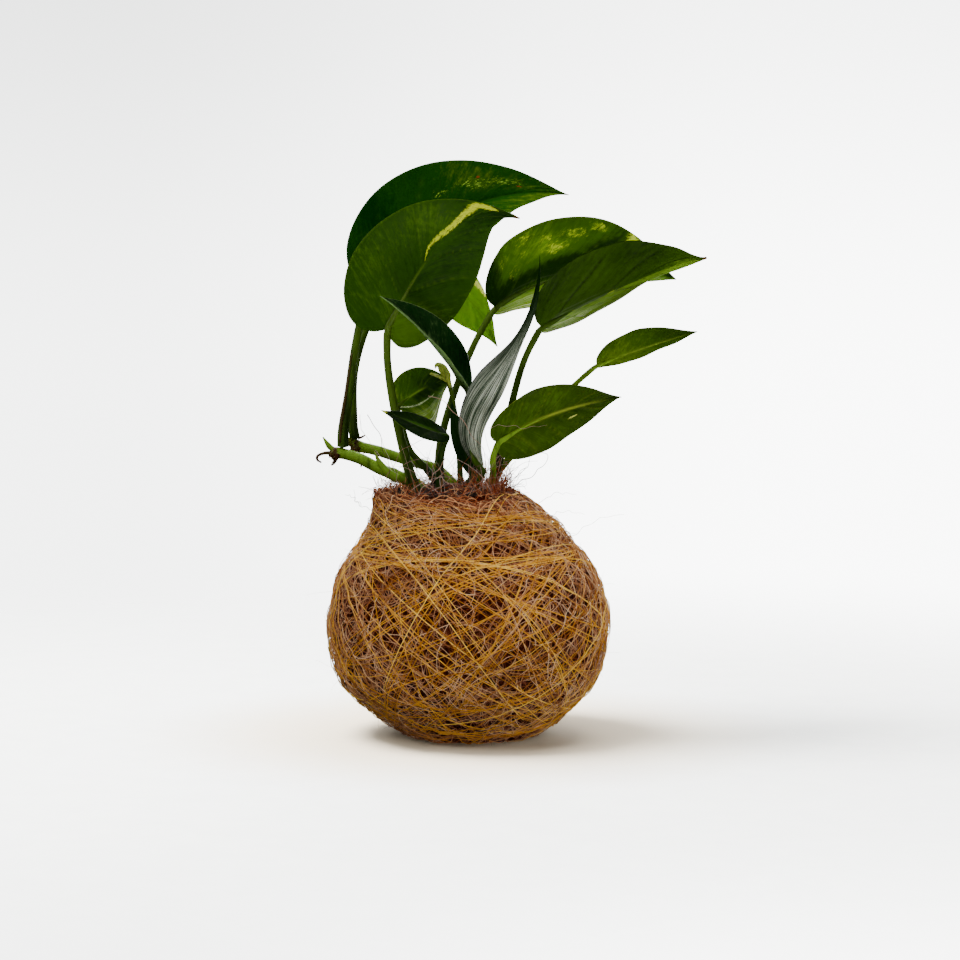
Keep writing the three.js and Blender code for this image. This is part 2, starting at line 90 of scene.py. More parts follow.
# rib is the midrib's curve by four points, face the way the upper side looks, half the widths
# of both halves, fold their angles in degrees, heart how heart-shaped each is, and radius the
# stalk's radius at the foot and at the blade.
LEAVES = [
    dict(name="leaf_top_back", rib=[(-34, 8, 184), (-24, 20, 203), (8, 46, 223), (42, 58, 217)],
         face=(0.5, -0.77, 0.4), half=(25.3, 22), fold=(8, 40), fold_tip=(0, 48), heart=(1.1, 1),
         stalk=[(-50, -6, 116.9), (-49.8, -6, 124), (-47.6, -5, 138), (-45.2, -1, 156),
                (-42, 3, 170), (-34, 8, 184)], radius=(2.1, 1.3)),
    dict(name="leaf_left_front",
         rib=[(-32, -14, 164), (-20, -30, 187), (-4, -50, 218), (20, -58, 208)],
         face=(0.33, 0.82, 0.45), face_tip=(0.3, 0.5, 0.82), half=(24, 25.8), fold=(35, 4),
         fold_tip=(0, 0), heart=(1.2, 1.05), rooted=True,
         stalk=[(-21, -14, 101), (-24.5, -15, 112), (-29, -16, 132), (-31.7, -16, 150),
                (-32, -14, 164)], radius=(2, 1.4)),
    dict(name="leaf_right_back", rib=[(11, 12, 172), (27, 28, 184), (63, 48, 191), (87, 58, 182)],
         face=(-0.5, 0.62, 0.6), half=(22, 31), fold=(20, 11), fold_tip=(20, 0), heart=(0, 0.9),
         rooted=True,
         stalk=[(-12, 12, 101), (-11, 12, 118), (-5, 11, 139), (3, 11, 158), (11, 12, 172)],
         radius=(1.7, 1.2)),
    dict(name="leaf_right_front",
         rib=[(29, -14, 165), (47, -4, 174), (77, 12, 189), (97, 20, 192)],
         face=(-0.5, 0.65, 0.57), face_tip=(-0.35, 0.35, 0.85), half=(22, 31), fold=(26, 2),
         fold_tip=(6, 2), heart=(0, 0.7), rooted=True,
         stalk=[(10.5, 1, 101), (15, -2, 122), (19, -6, 140), (23, -11, 153), (29, -14, 165)],
         radius=(1.7, 1.2)),
    dict(name="leaf_right_small", rib=[(52, 4, 149), (63, 8, 153), (78, 13, 158), (93, 16, 162)],
         face=(-0.39, 0.78, 0.49), half=(10, 9.8), fold=(30, 4), heart=(0.1, 0.3), rooted=True,
         stalk=[(8.5, 8, 101), (20, 8, 115), (35, 6, 133), (44, 4, 142), (52, 4, 149)],
         radius=(1.5, 0.9)),
    dict(name="leaf_low_right", rib=[(12, -26, 120), (25, -18, 129), (43, -6, 134), (62, 4, 136)],
         face=(-0.5, 0.8, 0.33), half=(15.2, 12.4), fold=(0, 15), heart=(0.5, 0.6), rooted=True,
         stalk=[(9.5, -9, 101), (10, -17, 108.5), (10, -23, 114), (12, -26, 120)],
         radius=(1.5, 1.1)),
    dict(name="leaf_hanging", rib=[(-18, 30, 195), (-7, 34, 185), (3, 36, 172), (12, 32, 155)],
         face=(0.2, -0.7, 0.6), half=(10, 18), fold=(8, 8), heart=(1, 1),
         stalk=[(-45.5, 2, 119.5), (-46.4, 2.5, 127), (-45.8, 8, 147), (-39.6, 16, 167),
                (-28, 26, 186), (-18, 30, 195)], radius=(1.9, 1.1)),
    dict(name="leaf_folded_upper",
         rib=[(0, -5, 139.5), (-11, -19, 154), (-21, -34, 170), (-34, -40, 178.2)],
         face=(0.45, -0.8, 0.45), half=(9, 10.8), fold=(55, 20), heart=(0.3, 0.2), rooted=True,
         stalk=[(3, -1, 101), (3, -1, 118), (1.5, -2.5, 131), (0, -5, 139.5)], radius=(1.4, 1.1)),
    dict(name="leaf_rolled_silver",
         rib=[(6, -14, 108), (-16.5, -22, 134), (30, -32, 150), (28, -37, 194)],
         face=(0.3, 0.9, 0.2), half=(8.6, 10.2), fold=(45, 45), heart=(0, 0), roll=0.6,
         rooted=True, stalk=[(4, -11, 101), (6, -14, 108)], radius=(1.5, 1.3)),
    dict(name="leaf_left_inner",
         rib=[(-28.5, -4, 132.7), (-23, -4, 137.2), (-16, -1, 142.6), (-6.5, 2, 142.6)],
         face=(-0.3, 0.95, 0.1), half=(16.5, 9.8), fold=(8, 5), heart=(0, 0.2), rooted=True,
         stalk=[(-12, -2, 101), (-17, -3.5, 108), (-23, -5, 115), (-26, -5, 124),
                (-28.5, -4, 132.7)], radius=(1.5, 1)),
    dict(name="leaf_folded_low",
         rib=[(-8, -16, 122), (-15, -21, 124), (-25, -26, 129), (-34, -29, 133)],
         face=(0, -0.6, 0.8), half=(7, 6), fold=(0, 10), heart=(0.3, 0.3), rooted=True,
         stalk=[(-11, -13, 101), (-11, -15, 111), (-10, -16, 117), (-8, -16, 122)],
         radius=(1.8, 1.2)),
    dict(name="leaf_sheath", rib=[(2, -7, 105), (0, -9, 113), (-5, -10, 121), (-6.5, -10, 136)],
         face=(0.2, -0.95, 0.2), half=(4.2, 3.8), fold=(20, 20), heart=(0, 0), rooted=True,
         stalk=[(-1, -7, 101), (2, -7, 105)], radius=(1.5, 1.2)),
    dict(name="leaf_unfurling",
         rib=[(-8, -5, 144), (-10.5, -7, 149), (-12.5, -8, 150.5), (-13, -9, 148)],
         face=(0, -0.3, 0.95), half=(3.4, 3.4), fold=(35, 35), heart=(0.2, 0.2), rooted=True,
         stalk=[(-3, 1, 101), (-4, -1, 121), (-6, -3, 135), (-8, -5, 144)], radius=(1.2, 0.9)),
]
# Long hairs at the neck: radius, tone and course.
LONG_HAIRS = [
    (0.17, 0.05, [(-40, -12, 130), (-36, -16, 124), (-33, -20, 116), (-30, -24, 104),
     (-28, -27, 97)]),
    (0.12, 0.4, [(-43, -10, 130), (-42.5, -13, 125), (-38, -17, 118), (-35, -20, 112)]),
    (0.14, 0.5, [(-34, -18, 96), (-31, -20, 108), (-25, -20, 117), (-16, -20, 121),
     (-9, -20, 119)]),
    (0.2, 0.85, [(-9, -17, 113), (-13, -20, 107), (-18, -24, 101), (-24, -28, 95)]),
    (0.18, 0.85, [(-14, -15, 103), (-11, -20, 106), (-5, -24, 101), (-2, -27, 95)]),
    (0.13, 0.75, [(-15.7, -12, 137.5), (-12.5, -16, 137), (-8.4, -20, 134.9), (-5.6, -23, 132.3),
     (-2, -26, 127.8), (2.4, -28, 122.6), (6, -26, 116.6), (7.6, -22, 106)]),
    (0.1, 0.6, [(36, -14, 80), (43, -16, 83), (52, -18, 89), (62, -20, 91)]),
    (0.07, 0.95, [(8, -30, 126), (14, -35, 127.5), (22, -35, 126.5), (31, -29, 127)]),
    (0.2, 0.05, [(15, -12, 100), (24, -14, 105), (30, -14, 110), (31.5, -13, 114),
     (27.5, -12, 115.5)]),
    (0.16, 0.05, [(13, -10, 101), (20, -12, 106), (25, -12, 112), (22, -12, 114)]),
    (0.16, 0.3, [(13, -16, 99), (17, -20, 107), (13, -22, 116), (16, -22, 124)]),
    (0.13, 0.5, [(6, -18, 100), (9, -24, 108), (6, -26, 118)]),
    (0.12, 0.3, [(-43, -9, 93), (-46, -10, 97), (-49, -11, 98)]),
    (0.12, 0.5, [(-38, -16, 92), (-44, -20, 96), (-45, -22, 101)]),
    (0.1, 0.6, [(30, -22, 90), (38, -28, 93), (46, -30, 92)]),
    (0.1, 0.5, [(28, -16, 95), (35, -18, 99), (43, -20, 99)]),
]

# ------------------------------------------------------------------ small helpers


def unit(p):
    return p / np.maximum(np.linalg.norm(p, axis=-1, keepdims=True), 1e-9)


def smooth(x, low, high):
    f = np.clip((np.asarray(x, float) - low) / (high - low), 0, 1)
    return f * f * (3 - 2 * f)


def spline(rows, t):
    """Points on a smooth curve through rows, for every t in 0..1."""
    rows = np.asarray(rows, float)
    padded = np.vstack([2 * rows[0] - rows[1], rows, 2 * rows[-1] - rows[-2]])
    place = np.clip(t, 0, 1) * (len(rows) - 1)
    i = np.minimum(place.astype(int), len(rows) - 2)
    f = (place - i)[..., None]
    a, b, c, d = padded[i], padded[i + 1], padded[i + 2], padded[i + 3]
    return 0.5 * (2 * b + (c - a) * f + (2 * a - 5 * b + 4 * c - d) * f * f
                  + (3 * b - a - 3 * c + d) * f ** 3)


def line(rows, count):
    """Points at even steps along a curve through rows."""
    fine = spline(rows, np.linspace(0, 1, 400))
    reach = np.concatenate([[0], np.cumsum(np.linalg.norm(np.diff(fine, axis=0), axis=1))])
    want = np.linspace(0, reach[-1], count)
    return np.stack([np.interp(want, reach, fine[:, i]) for i in range(fine.shape[1])], -1)


def lumps(points, size, seed, waves=20):
    """Smooth uneven field of about -1..1 in space, with lumps of about that size."""
    rng = np.random.default_rng(seed)
    total = np.zeros(points.shape[:-1])
    for _ in range(waves):
        k = unit(rng.normal(size=3)) * TAU / (size * rng.uniform(1.4, 3.2))
        total += np.sin(points @ k + rng.uniform(0, TAU))
    return total / math.sqrt(waves)


def rgb(text):
    """Linear colour of a display colour written as six hex digits."""
    parts = [int(text[i:i + 2], 16) / 255 for i in (0, 2, 4)]
    return tuple(c / 12.92 if c <= 0.04045 else ((c + 0.055) / 1.055) ** 2.4
                 for c in parts) + (1.0,)


def link(name, data):
    made = bpy.data.objects.new(name, data)
    bpy.context.scene.collection.objects.link(made)
    return made


class Mesher:
    """Gathers closed bodies, in millimetres, that become one mesh or one piece."""

    def __init__(self):
        self.points, self.quads, self.tris, self.values, self.count = [], [], [], {}, 0

    def add(self, points, quads, tris=(), **values):
        points = np.asarray(points, float).reshape(-1, 3)
        self.points.append(points)
        if len(quads):
            self.quads.append(np.asarray(quads) + self.count)
        if len(tris):
            self.tris.append(np.asarray(tris) + self.count)
        for key, data in values.items():
            full = np.broadcast_to(np.asarray(data, float).ravel(), (len(points),))
            self.values.setdefault(key, []).append(full)
        self.count += len(points)

    def mesh(self, name, material, is_smooth=True):
        points = np.concatenate(self.points) * MM
        faces = [np.concatenate(group).astype(np.int32)
                 for group in (self.quads, self.tris) if group]
        corners = np.concatenate([group.ravel() for group in faces])
        totals = np.concatenate([np.full(len(f), f.shape[1], np.int32) for f in faces])
        starts = np.concatenate([[0], np.cumsum(totals)[:-1]]).astype(np.int32)
        mesh = bpy.data.meshes.new(name)
        mesh.vertices.add(len(points))
        mesh.loops.add(len(corners))
        mesh.polygons.add(len(totals))
        mesh.vertices.foreach_set("co", points.astype(np.float32).ravel())
        mesh.loops.foreach_set("vertex_index", corners)
        mesh.polygons.foreach_set("loop_start", starts)
        mesh.polygons.foreach_set("loop_total", totals)
        mesh.polygons.foreach_set("use_smooth", np.full(len(totals), is_smooth))
        mesh.update(calc_edges=True)
        for key, data in self.values.items():
            layer = mesh.attributes.new(key, "FLOAT", "POINT")
            layer.data.foreach_set("value", np.concatenate(data).astype(np.float32))
        mesh.materials.append(material)
        return mesh

    def make(self, name, material, stands_for=()):
        """Makes the piece, which rides on the plant's one body."""
        piece = link(name, self.mesh(name, material))
        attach(piece, "root")
        if stands_for:
            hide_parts(*stands_for)


def circle(sides, side, other):
    """Unit circles of points in the planes of side and other."""
    turn = np.arange(sides) * TAU / sides
    return (np.cos(turn)[:, None] * side[..., None, :]
            + np.sin(turn)[:, None] * other[..., None, :])


def bands(start, after, sides):
    """Quads between rings, from the numbers of each ring's and the next ring's first point."""
    start, after = start.ravel()[:, None], after.ravel()[:, None]
    col = np.arange(sides)
    nxt = (col + 1) % sides
    return np.stack([start + col, after + col, after + nxt, start + nxt], -1).reshape(-1, 4)


def drum(mesher, rings, poles, **values):
    """Closed body from a stack of rings and a pole at each end."""
    k, n, _ = rings.shape
    start = np.arange(k - 1) * n
    quads = bands(start, start + n, n)[:, [0, 3, 2, 1]]
    i = np.arange(n)
    j, last = (i + 1) % n, (k - 1) * n
    tris = np.concatenate([np.stack([np.full(n, k * n), j, i], -1),
                           np.stack([np.full(n, k * n + 1), last + i, last + j], -1)])
    mesher.add(np.concatenate([rings.reshape(-1, 3), poles]), quads, tris, **values)


def tubes(mesher, lines, radii, sides, up, **values):
    """Thin closed tubes along many lines at once: lines n x k x 3, radii n x k."""
    n, k, _ = lines.shape
    along = unit(np.gradient(lines, axis=1))
    side = unit(np.cross(along, up))
    rings = lines[:, :, None] + radii[:, :, None, None] * circle(sides, side,
                                                                 np.cross(side, along))
    start = (np.arange(n) * k * sides)[:, None] + np.arange(k - 1) * sides
    quads = bands(start, start + sides, sides)
    first = start[:, :1] + np.arange(sides)
    caps = np.concatenate([first, (first + (k - 1) * sides)[:, ::-1]])
    full = {key: np.repeat(np.asarray(v, float).reshape(n, -1) * np.ones((1, k)), sides, axis=1)
            for key, v in values.items()}
    if sides == 3:
        mesher.add(rings, quads, caps, **full)
    else:
        mesher.add(rings, np.concatenate([quads, caps]), **full)


def sweep(mesher, points, radii, sides, groove=0.0, groove_way=(0.3, -1, 0.2), **values):
    """One smooth closed tube along points, with a groove along the side it is turned to."""
    along = unit(np.gradient(points, axis=0))
    across = np.zeros_like(points)
    start = np.array(groove_way, float)
    for i, way in enumerate(along):
        start = start - way * (start @ way)
        start = start / np.linalg.norm(start)
        across[i] = start
    turn = np.arange(sides) * TAU / sides
    shape = 1 - groove * np.exp(-(np.minimum(turn, TAU - turn) / 0.5) ** 2)
    rings = points[:, None] + (radii[:, None] * shape)[..., None] * circle(
        sides, across, np.cross(along, across))
    ends = (points[0] - along[0] * radii[0] * 0.3, points[-1] + along[-1] * radii[-1] * 0.5)
    full = {}
    for key, v in values.items():
        v = np.asarray(v, float) * np.ones(len(points))
        full[key] = np.concatenate([np.repeat(v, sides), v[[0, -1]]])
    drum(mesher, rings, ends, **full)


def grow(rng, at, way, spin, size, turn, steps, jitter):
    """Lines of hairs that grow from at along way and slowly turn about spin."""
    points = [at]
    for _ in range(steps):
        points.append(points[-1] + way * (size / steps)[:, None])
        way = unit(way + np.cross(spin, way) * (turn * size / steps)[:, None]
                   + jitter * rng.normal(size=at.shape))
    return np.stack(points, 1)


# ------------------------------------------------------------------ materials


class Look:
    """A procedural material, or the background, put together from nodes."""

    def __init__(self, name, kind="Material"):
        self.made = (bpy.data.worlds if kind == "World" else bpy.data.materials).new(name)
        self.made.use_nodes = True
        self.tree = self.made.node_tree
        self.tree.nodes.clear()
        self.out = self.tree.nodes.new("ShaderNodeOutput" + kind)

    def node(self, kind, inputs, output=0, **options):
        made = self.tree.nodes.new("ShaderNode" + kind)
        for key, value in options.items():
            setattr(made, key, value)
        for key, value in inputs.items():
            if isinstance(value, bpy.types.NodeSocket):
                self.tree.links.new(value, made.inputs[key])
            else:
                made.inputs[key].default_value = value
        return made.outputs[output]

    def value(self, name):
        return self.node("Attribute", {}, "Fac", attribute_name=name)

    def times(self, a, b):
        return self.node("Math", {0: a, 1: b}, operation="MULTIPLY")

    def blend(self, a, b, c, shift=None):
        """(a - shift) * b + c."""
        if shift is not None:
            a = self.node("Math", {0: a, 1: shift}, operation="SUBTRACT")
        return self.node("Math", {0: a, 1: b, 2: c}, operation="MULTIPLY_ADD")

    def step(self, x, low, high, to_low=0.0, to_high=1.0):
        return self.node("MapRange", {0: x, 1: low, 2: high, 3: to_low, 4: to_high},
                         interpolation_type="SMOOTHSTEP")

    def mix(self, factor, a, b, blend="MIX"):
        return self.node("Mix", {0: factor, 6: a, 7: b}, 2, data_type="RGBA", blend_type=blend)

    def noise(self, vector, scale, detail, rough):
        return self.node("TexNoise", {"Vector": vector, "Scale": scale, "Detail": detail,
                                      "Roughness": rough})

    def drawn(self, scale, detail, rough):
        """Noise that is drawn out along Z."""
        vector = self.node("Mapping", {"Vector": self.place(), "Scale": scale})
        return self.noise(vector, 1.0, detail, rough)

    def place(self):
        return self.node("TexCoord", {}, "Object")

    def join(self, x, y, z):
        return self.node("CombineXYZ", {0: x, 1: y, 2: z})

    def body(self, color, rough, bump, gloss, tint=(1.0, 1.0, 1.0, 1.0), **more):
        """Main shader. rough is a noise and the roughness at its low and high values, and
        bump a height, its distance and its strength."""
        self.normal = self.node("Bump", dict(zip(("Height", "Distance", "Strength"), bump)))
        return self.node("BsdfPrincipled", {
            "Base Color": color, "Roughness": self.step(rough[0], 0.2, 0.8, *rough[1:]),
            "Normal": self.normal, "Specular IOR Level": gloss, "Specular Tint": tint, **more})

    def surface(self, shader):
        self.tree.links.new(shader, self.out.inputs["Surface"])
        return self.made


def leaf_look(name, dark, mid, light, vein, pale="d8dc8a", sheen="b4baa4", rough=0.46,
              see=0.3, gloss=0.2, veins=0.3, rib=0.6, rim=0.1, streaks=0.6, lines=1.0):
    """Waxy leaf. tone runs from dark (-1) over mid to light (1), and holds the leaf's own tones
    together with painted light and shade. sheen is a painted sheen, whitish reflected light on an
    underside, with fine lines in it, patch the yellow variegation, rust the dry spots."""
    dark, mid, light, vein, pale, sheen = (rgb(c) for c in (dark, mid, light, vein, pale, sheen))
    look = Look(name)
    q, w, t, patch = (look.value(key) for key in ("q", "w", "t", "patch"))

    def grain(across, along, detail, rough=0.62):
        return look.noise(look.join(look.times(q, across), look.times(w, along), t),
                          1.0, detail, rough)

    broad = grain(24.0, 2.6, 3.0)
    streak = grain(90.0, 5.0, 4.0)
    spots = grain(80.0, 24.0, 5.0, 0.7)
    mottle = look.noise(look.place(), 380.0, 3.0, 0.6)
    # tone carries the leaf's own tones together with painted light and shade
    level = look.blend(broad, 1.1, look.value("tone"), 0.5)
    level = look.blend(streak, 2 * streaks, level, 0.5)
    level = look.blend(mottle, 0.9, level, 0.5)
    color = look.mix(look.step(level, -1.0, 0.0), dark, mid)
    color = look.mix(look.step(level, 0.0, 1.0), color, light)
    color = look.mix(look.times(look.value("vein"), veins), color, vein)
    color = look.mix(look.times(look.value("ribline"), rib), color, vein)
    fine = look.noise(look.join(look.times(w, 34.0), look.times(t, 2.5), 0.3), 1.0, 3.0, 0.6)
    # painted sheen: whitish reflected light put on as colour, in fine lines along the blade
    painted_sheen = look.times(look.value("sheen"), look.step(fine, 0.49, 0.57, 1.0 - lines, 1.0))
    color = look.mix(painted_sheen, color, sheen)
    dotted = look.blend(patch, 0.6, spots)
    allowed = look.step(patch, 0.02, 0.25)
    color = look.mix(look.times(look.step(dotted, 0.82, 0.91, 0.0, 0.5), allowed),
                     color, look.mix(0.45, light, pale))
    color = look.mix(look.times(look.step(dotted, 0.92, 0.96), allowed), color, pale)
    rust = look.blend(spots, 1.2, look.value("rust"), 0.5)
    color = look.mix(look.step(rust, 0.45, 0.75), color, rgb("6e3410"))
    edge = look.node("Math", {0: w}, operation="ABSOLUTE")
    color = look.mix(look.step(edge, 0.96, 0.995, 0.0, rim), color, vein)
    height = look.blend(streak, 0.6, look.times(mottle, 0.4))
    body = look.body(color, (broad, rough - 0.14, rough + 0.06), (height, 0.0002, 0.7), gloss,
                     GREEN_TINT)
    through = look.mix(1.0, color, (1.0, 1.0, 0.45, 1.0), "MULTIPLY")
    back = look.node("BsdfTranslucent", {"Color": look.mix(0.25, through, light),
                                         "Normal": look.normal})
    return look.surface(look.node("MixShader", {0: see, 1: body, 2: back}))


def stem_look(name, deep, light, rough=0.45):
    """Smooth stalk: darker at the foot, lighter at the blade, with long streaks of both."""
    deep, light = rgb(deep), rgb(light)
    look = Look(name)
    long = look.drawn((900.0, 900.0, 90.0), 3.0, 0.55)
    side = look.drawn((330.0, 330.0, 14.0), 2.0, 0.5)
    blotch = look.noise(look.place(), 160.0, 3.0, 0.6)
    level = look.blend(look.value("run"), 0.55, look.times(side, 1.3))
    level = look.blend(long, 0.4, level)
    color = look.mix(look.step(level, 0.55, 1.35), deep, light)
    color = look.mix(look.step(blotch, 0.55, 0.78, 0.0, 0.5), color, deep)
    color = look.mix(look.step(look.value("scar"), 0.15, 0.85), color, rgb("3b2013"))
    return look.surface(look.body(
        color, (blotch, rough - 0.1, rough + 0.12), (long, 0.0002, 0.5), 0.12, GREEN_TINT,
        **{"Subsurface Weight": 0.1, "Subsurface Radius": (0.0012, 0.0016, 0.0005),
           "Subsurface Scale": 1.0}))


def fibre_look(name, dark, mid, light, rough=0.6):
    """Dry fibre: each one has its own tone, with flecks along it, and painted shade darkens it low
    down, near the floor.
    """
    dark, mid, light = rgb(dark), rgb(mid), rgb(light)
    look = Look(name)
    place = look.place()
    fleck = look.noise(place, 520.0, 3.0, 0.65)
    cloud = look.noise(place, 55.0, 2.0, 0.5)
    height = look.node("SeparateXYZ", {0: place}, "Z")
    mixed = look.blend(look.value("tone"), 0.8, look.times(fleck, 0.3))
    color = look.mix(look.step(mixed, 0.1, 0.55), dark, mid)
    color = look.mix(look.step(mixed, 0.5, 0.98), color, light)
    color = look.mix(look.step(cloud, 0.45, 0.75, 0.0, 0.25), color, dark)
    # painted shade: the fibre turns towards its dark colour in the lowest 14 mm, by the floor
    color = look.mix(look.step(height, 0.014, 0.0, 0.0, 0.7), color, dark)
    return look.surface(look.body(color, (fleck, rough - 0.08, rough + 0.15),
                                  (fleck, 0.0001, 0.5), 0.1, (1.0, 0.7, 0.35, 1.0)))


def soil_look():
    look = Look("damp_soil")
    grain = look.noise(look.place(), 420.0, 5.0, 0.7)
    clod = look.noise(look.place(), 120.0, 3.0, 0.6)
    color = look.mix(look.step(grain, 0.35, 0.7), rgb("1c120d"), rgb("3d291c"))
    color = look.mix(look.step(clod, 0.55, 0.8, 0.0, 0.5), color, rgb("563c28"))
    return look.surface(look.body(color, (grain, 0.75, 1.0), (grain, 0.0008, 0.9), 0.25))


def mat_look():
    look = Look("coir_mat")
    thread = look.drawn((900.0, 900.0, 260.0), 5.0, 0.7)
    clump = look.noise(look.place(), 130.0, 4.0, 0.6)
    # the coir's own red-brown, made much darker as painted shade for the gaps under the fibres
    # that lie over it
    color = look.mix(look.step(thread, 0.35, 0.7), rgb("1c0300"), rgb("401003"))
    color = look.mix(look.step(clump, 0.5, 0.75, 0.0, 0.6), color, rgb("0e0100"))
    return look.surface(look.body(color, (thread, 0.8, 1.0), (thread, 0.0009, 1.0), 0.0))


# ------------------------------------------------------------------ surface of the ball

_rows = spline(JACKET_RINGS, np.linspace(0, 1, 420))
_foot = np.stack([np.zeros(FOOT_ROWS), np.ones(FOOT_ROWS),
                  np.linspace(0, JACKET_RINGS[0][2], FOOT_ROWS + 1)[:-1]], -1)
Z_AT, SHIFT_AT, R_AT = np.concatenate([_foot, _rows]).T
S_AT = np.concatenate([[0], np.cumsum(np.hypot(np.diff(R_AT), np.diff(Z_AT)))])
S_TOP = S_AT[-1]
SLOPE_AT, RISE_AT = (np.convolve(np.pad(np.gradient(x, S_AT), 4, "edge"), np.ones(9) / 9, "valid")
                     for x in (R_AT, Z_AT))


def on_ball(a, s):
    """Point of the jacket and its outward direction, for a bearing and a way up it."""
    r, z, shift, slope, rise = (np.interp(s, S_AT, x)
                                for x in (R_AT, Z_AT, SHIFT_AT, SLOPE_AT, RISE_AT))
    at = np.stack([shift + r * np.cos(a), r * np.sin(a), z], -1)
    return at, unit(np.stack([rise * np.cos(a), rise * np.sin(a), -slope], -1))


def clumps(at):
    return 0.75 * lumps(at, 9, 11) + 0.45 * lumps(at, 3.2, 12)


def ring(x, r, z, a):
    return np.stack([x + r * np.cos(a), r * np.sin(a), np.full(len(a), z)], -1)


def inner_ring(z, depth, a):
    """Ring at a height, that deep inside the jacket's outside."""
    rim = int(np.argmax(R_AT))
    half = slice(rim, None) if z > Z_AT[rim] else slice(FOOT_ROWS, rim + 1)
    shift, r = (np.interp(z, Z_AT[half], x[half]) for x in (SHIFT_AT, R_AT))
    return ring(shift, r - depth - max(0.0, 1.2 * (1 - z / 12)), z, a)


def walk(rng, a, s, heading, steps, step, bend, wander, hold=8.0):
    """Paths wandering over the ball. heading is the angle from straight up, and bend and
    wander set how curly they are. They turn aside before the neck's rim and the foot."""
    a, s, heading = (np.array(x, float) for x in (a, s, heading))
    curl = bend * rng.normal(size=len(a))
    track = [(a.copy(), s.copy())]
    for _ in range(steps):
        curl = curl * 0.985 + wander * rng.normal(size=len(a))
        r = np.maximum(np.interp(s, S_AT, R_AT), 4)
        heading += step * (curl - np.interp(s, S_AT, SLOPE_AT) * np.sin(heading) / r)
        side = np.where(np.sin(heading) < 0, -1.0, 1.0)
        top = smooth(s, S_TOP - hold, S_TOP - 1) * (np.cos(heading) > -0.25)
        low = smooth(-s, -14, -6) * (np.cos(heading) < 0.25)
        heading += step * 0.35 * side * (top - low)
        a = a + step * np.sin(heading) / r
        s = np.clip(s + step * np.cos(heading), 4, S_TOP - 0.2)
        track.append((a.copy(), s.copy()))
    return (np.stack(x, 1) for x in zip(*track))


def strand(mesher, rng, a, s, lift, radius, sides=3, tuck=0.9, tuck_at=0.12):
    """Lays fibres on paths over the ball. lift is their height above the jacket."""
    at, out = on_ball(a, s)
    n, k = a.shape
    f = np.linspace(0, 1, k)[None]
    ends = 1 - smooth(f, 0, tuck_at) * smooth(-f, -1, -1 + tuck_at)
    lines = at + out * (lift - ends * tuck + 0.55 * clumps(at))[..., None]
    lines[..., 2] = np.maximum(lines[..., 2], 0.25)
    taper = 0.45 + 0.55 * smooth(f, 0, 0.08) * smooth(-f, -1, -0.92)
    tubes(mesher, lines, radius.reshape(n, 1) * taper, sides, out, tone=rng.uniform(0, 1, n))


# ------------------------------------------------------------------ coir ball


def build_mat():
    """The packed fibre wall: fine and lumpy outside, plain inside, open at the neck."""
    columns, rows = 300, 190
    a = np.arange(columns) * TAU / columns
    at, out = on_ball(*np.meshgrid(a, np.linspace(0, S_TOP, rows + 1)[1:]))
    keep = smooth(at[..., 2], 0.2, 5)
    outside = at + out * ((clumps(at) * 0.8 - 0.9) * keep)[..., None]
    inside = [inner_ring(z, depth, a) for z, depth in (
        (98.2, 2.6), (93.5, 2.7), (87, 3), (80, 3.4), (72, 3.8), (60, 4), (45, 4), (27, 4),
        (16, 4), (9, 4), (4.2, 4))]
    mesher = Mesher()
    drum(mesher, np.concatenate([outside, inside]), [[1.0, 0, 0], [1.0, 0, 4.2]])
    mesher.make("coir_mat", mat_look(), ("coir_jacket",))


def build_curls():
    """Short curly coir fibres matted over the ball, three-sided and very thin."""
    steps, curl = 14, 0.09
    for name, seed, count, lift, tones in (
            ("coir_curls_dark", 61, 1700, (-1.2, -0.3), ("240502", "52190b", "78351f")),
            ("coir_curls_brown", 62, 2300, (-0.8, 0.3), ("42170b", "7c4228", "b07c5a")),
            ("coir_curls_tan", 63, 2100, (0.0, 1.3), ("743c22", "b07c58", "e0b894")),
            ("coir_curls_light", 64, 1000, (0.8, 1.9), ("8e5634", "bc8c66", "e6c49e"))):
        rng = np.random.default_rng(seed)
        size, a = rng.uniform(8, 26, count), rng.uniform(0, TAU, count)
        s = 5 + (S_TOP - 6) * rng.beta(1.35, 1.15, count)
        keep = rng.uniform(0, 55, count) < np.interp(s, S_AT, R_AT) + 4
        a, s, size = a[keep], s[keep], size[keep]
        n = len(a)
        pa, ps = walk(rng, a, s, rng.uniform(0, TAU, n), steps, size / steps, curl, curl * 0.3)
        wave = 0.35 * np.sin(np.linspace(0, 1, steps + 1) * rng.uniform(4, 16, (n, 1))
                             + rng.uniform(0, TAU, (n, 1)))
        mesher = Mesher()
        strand(mesher, rng, pa, ps, rng.uniform(*lift, (n, 1)) + wave,
               rng.uniform(0.11, 0.165, n))
        mesher.make(name, fibre_look(name + "_look", *tones))


def plane_cut(a, middle, tilt, bearing):
    """Way up the ball, at bearings a, of turns that lie in tilted planes."""
    lean = np.tan(np.radians(tilt)) * np.cos(a - np.radians(bearing))
    low, high = np.full(a.shape, 30.0), np.full(a.shape, S_TOP - 1.5)
    for _ in range(30):
        s = (low + high) / 2
        under = np.interp(s, S_AT, Z_AT) < middle + lean * np.interp(s, S_AT, R_AT)
        low, high = np.where(under, s, low), np.where(under, high, s)
    return low


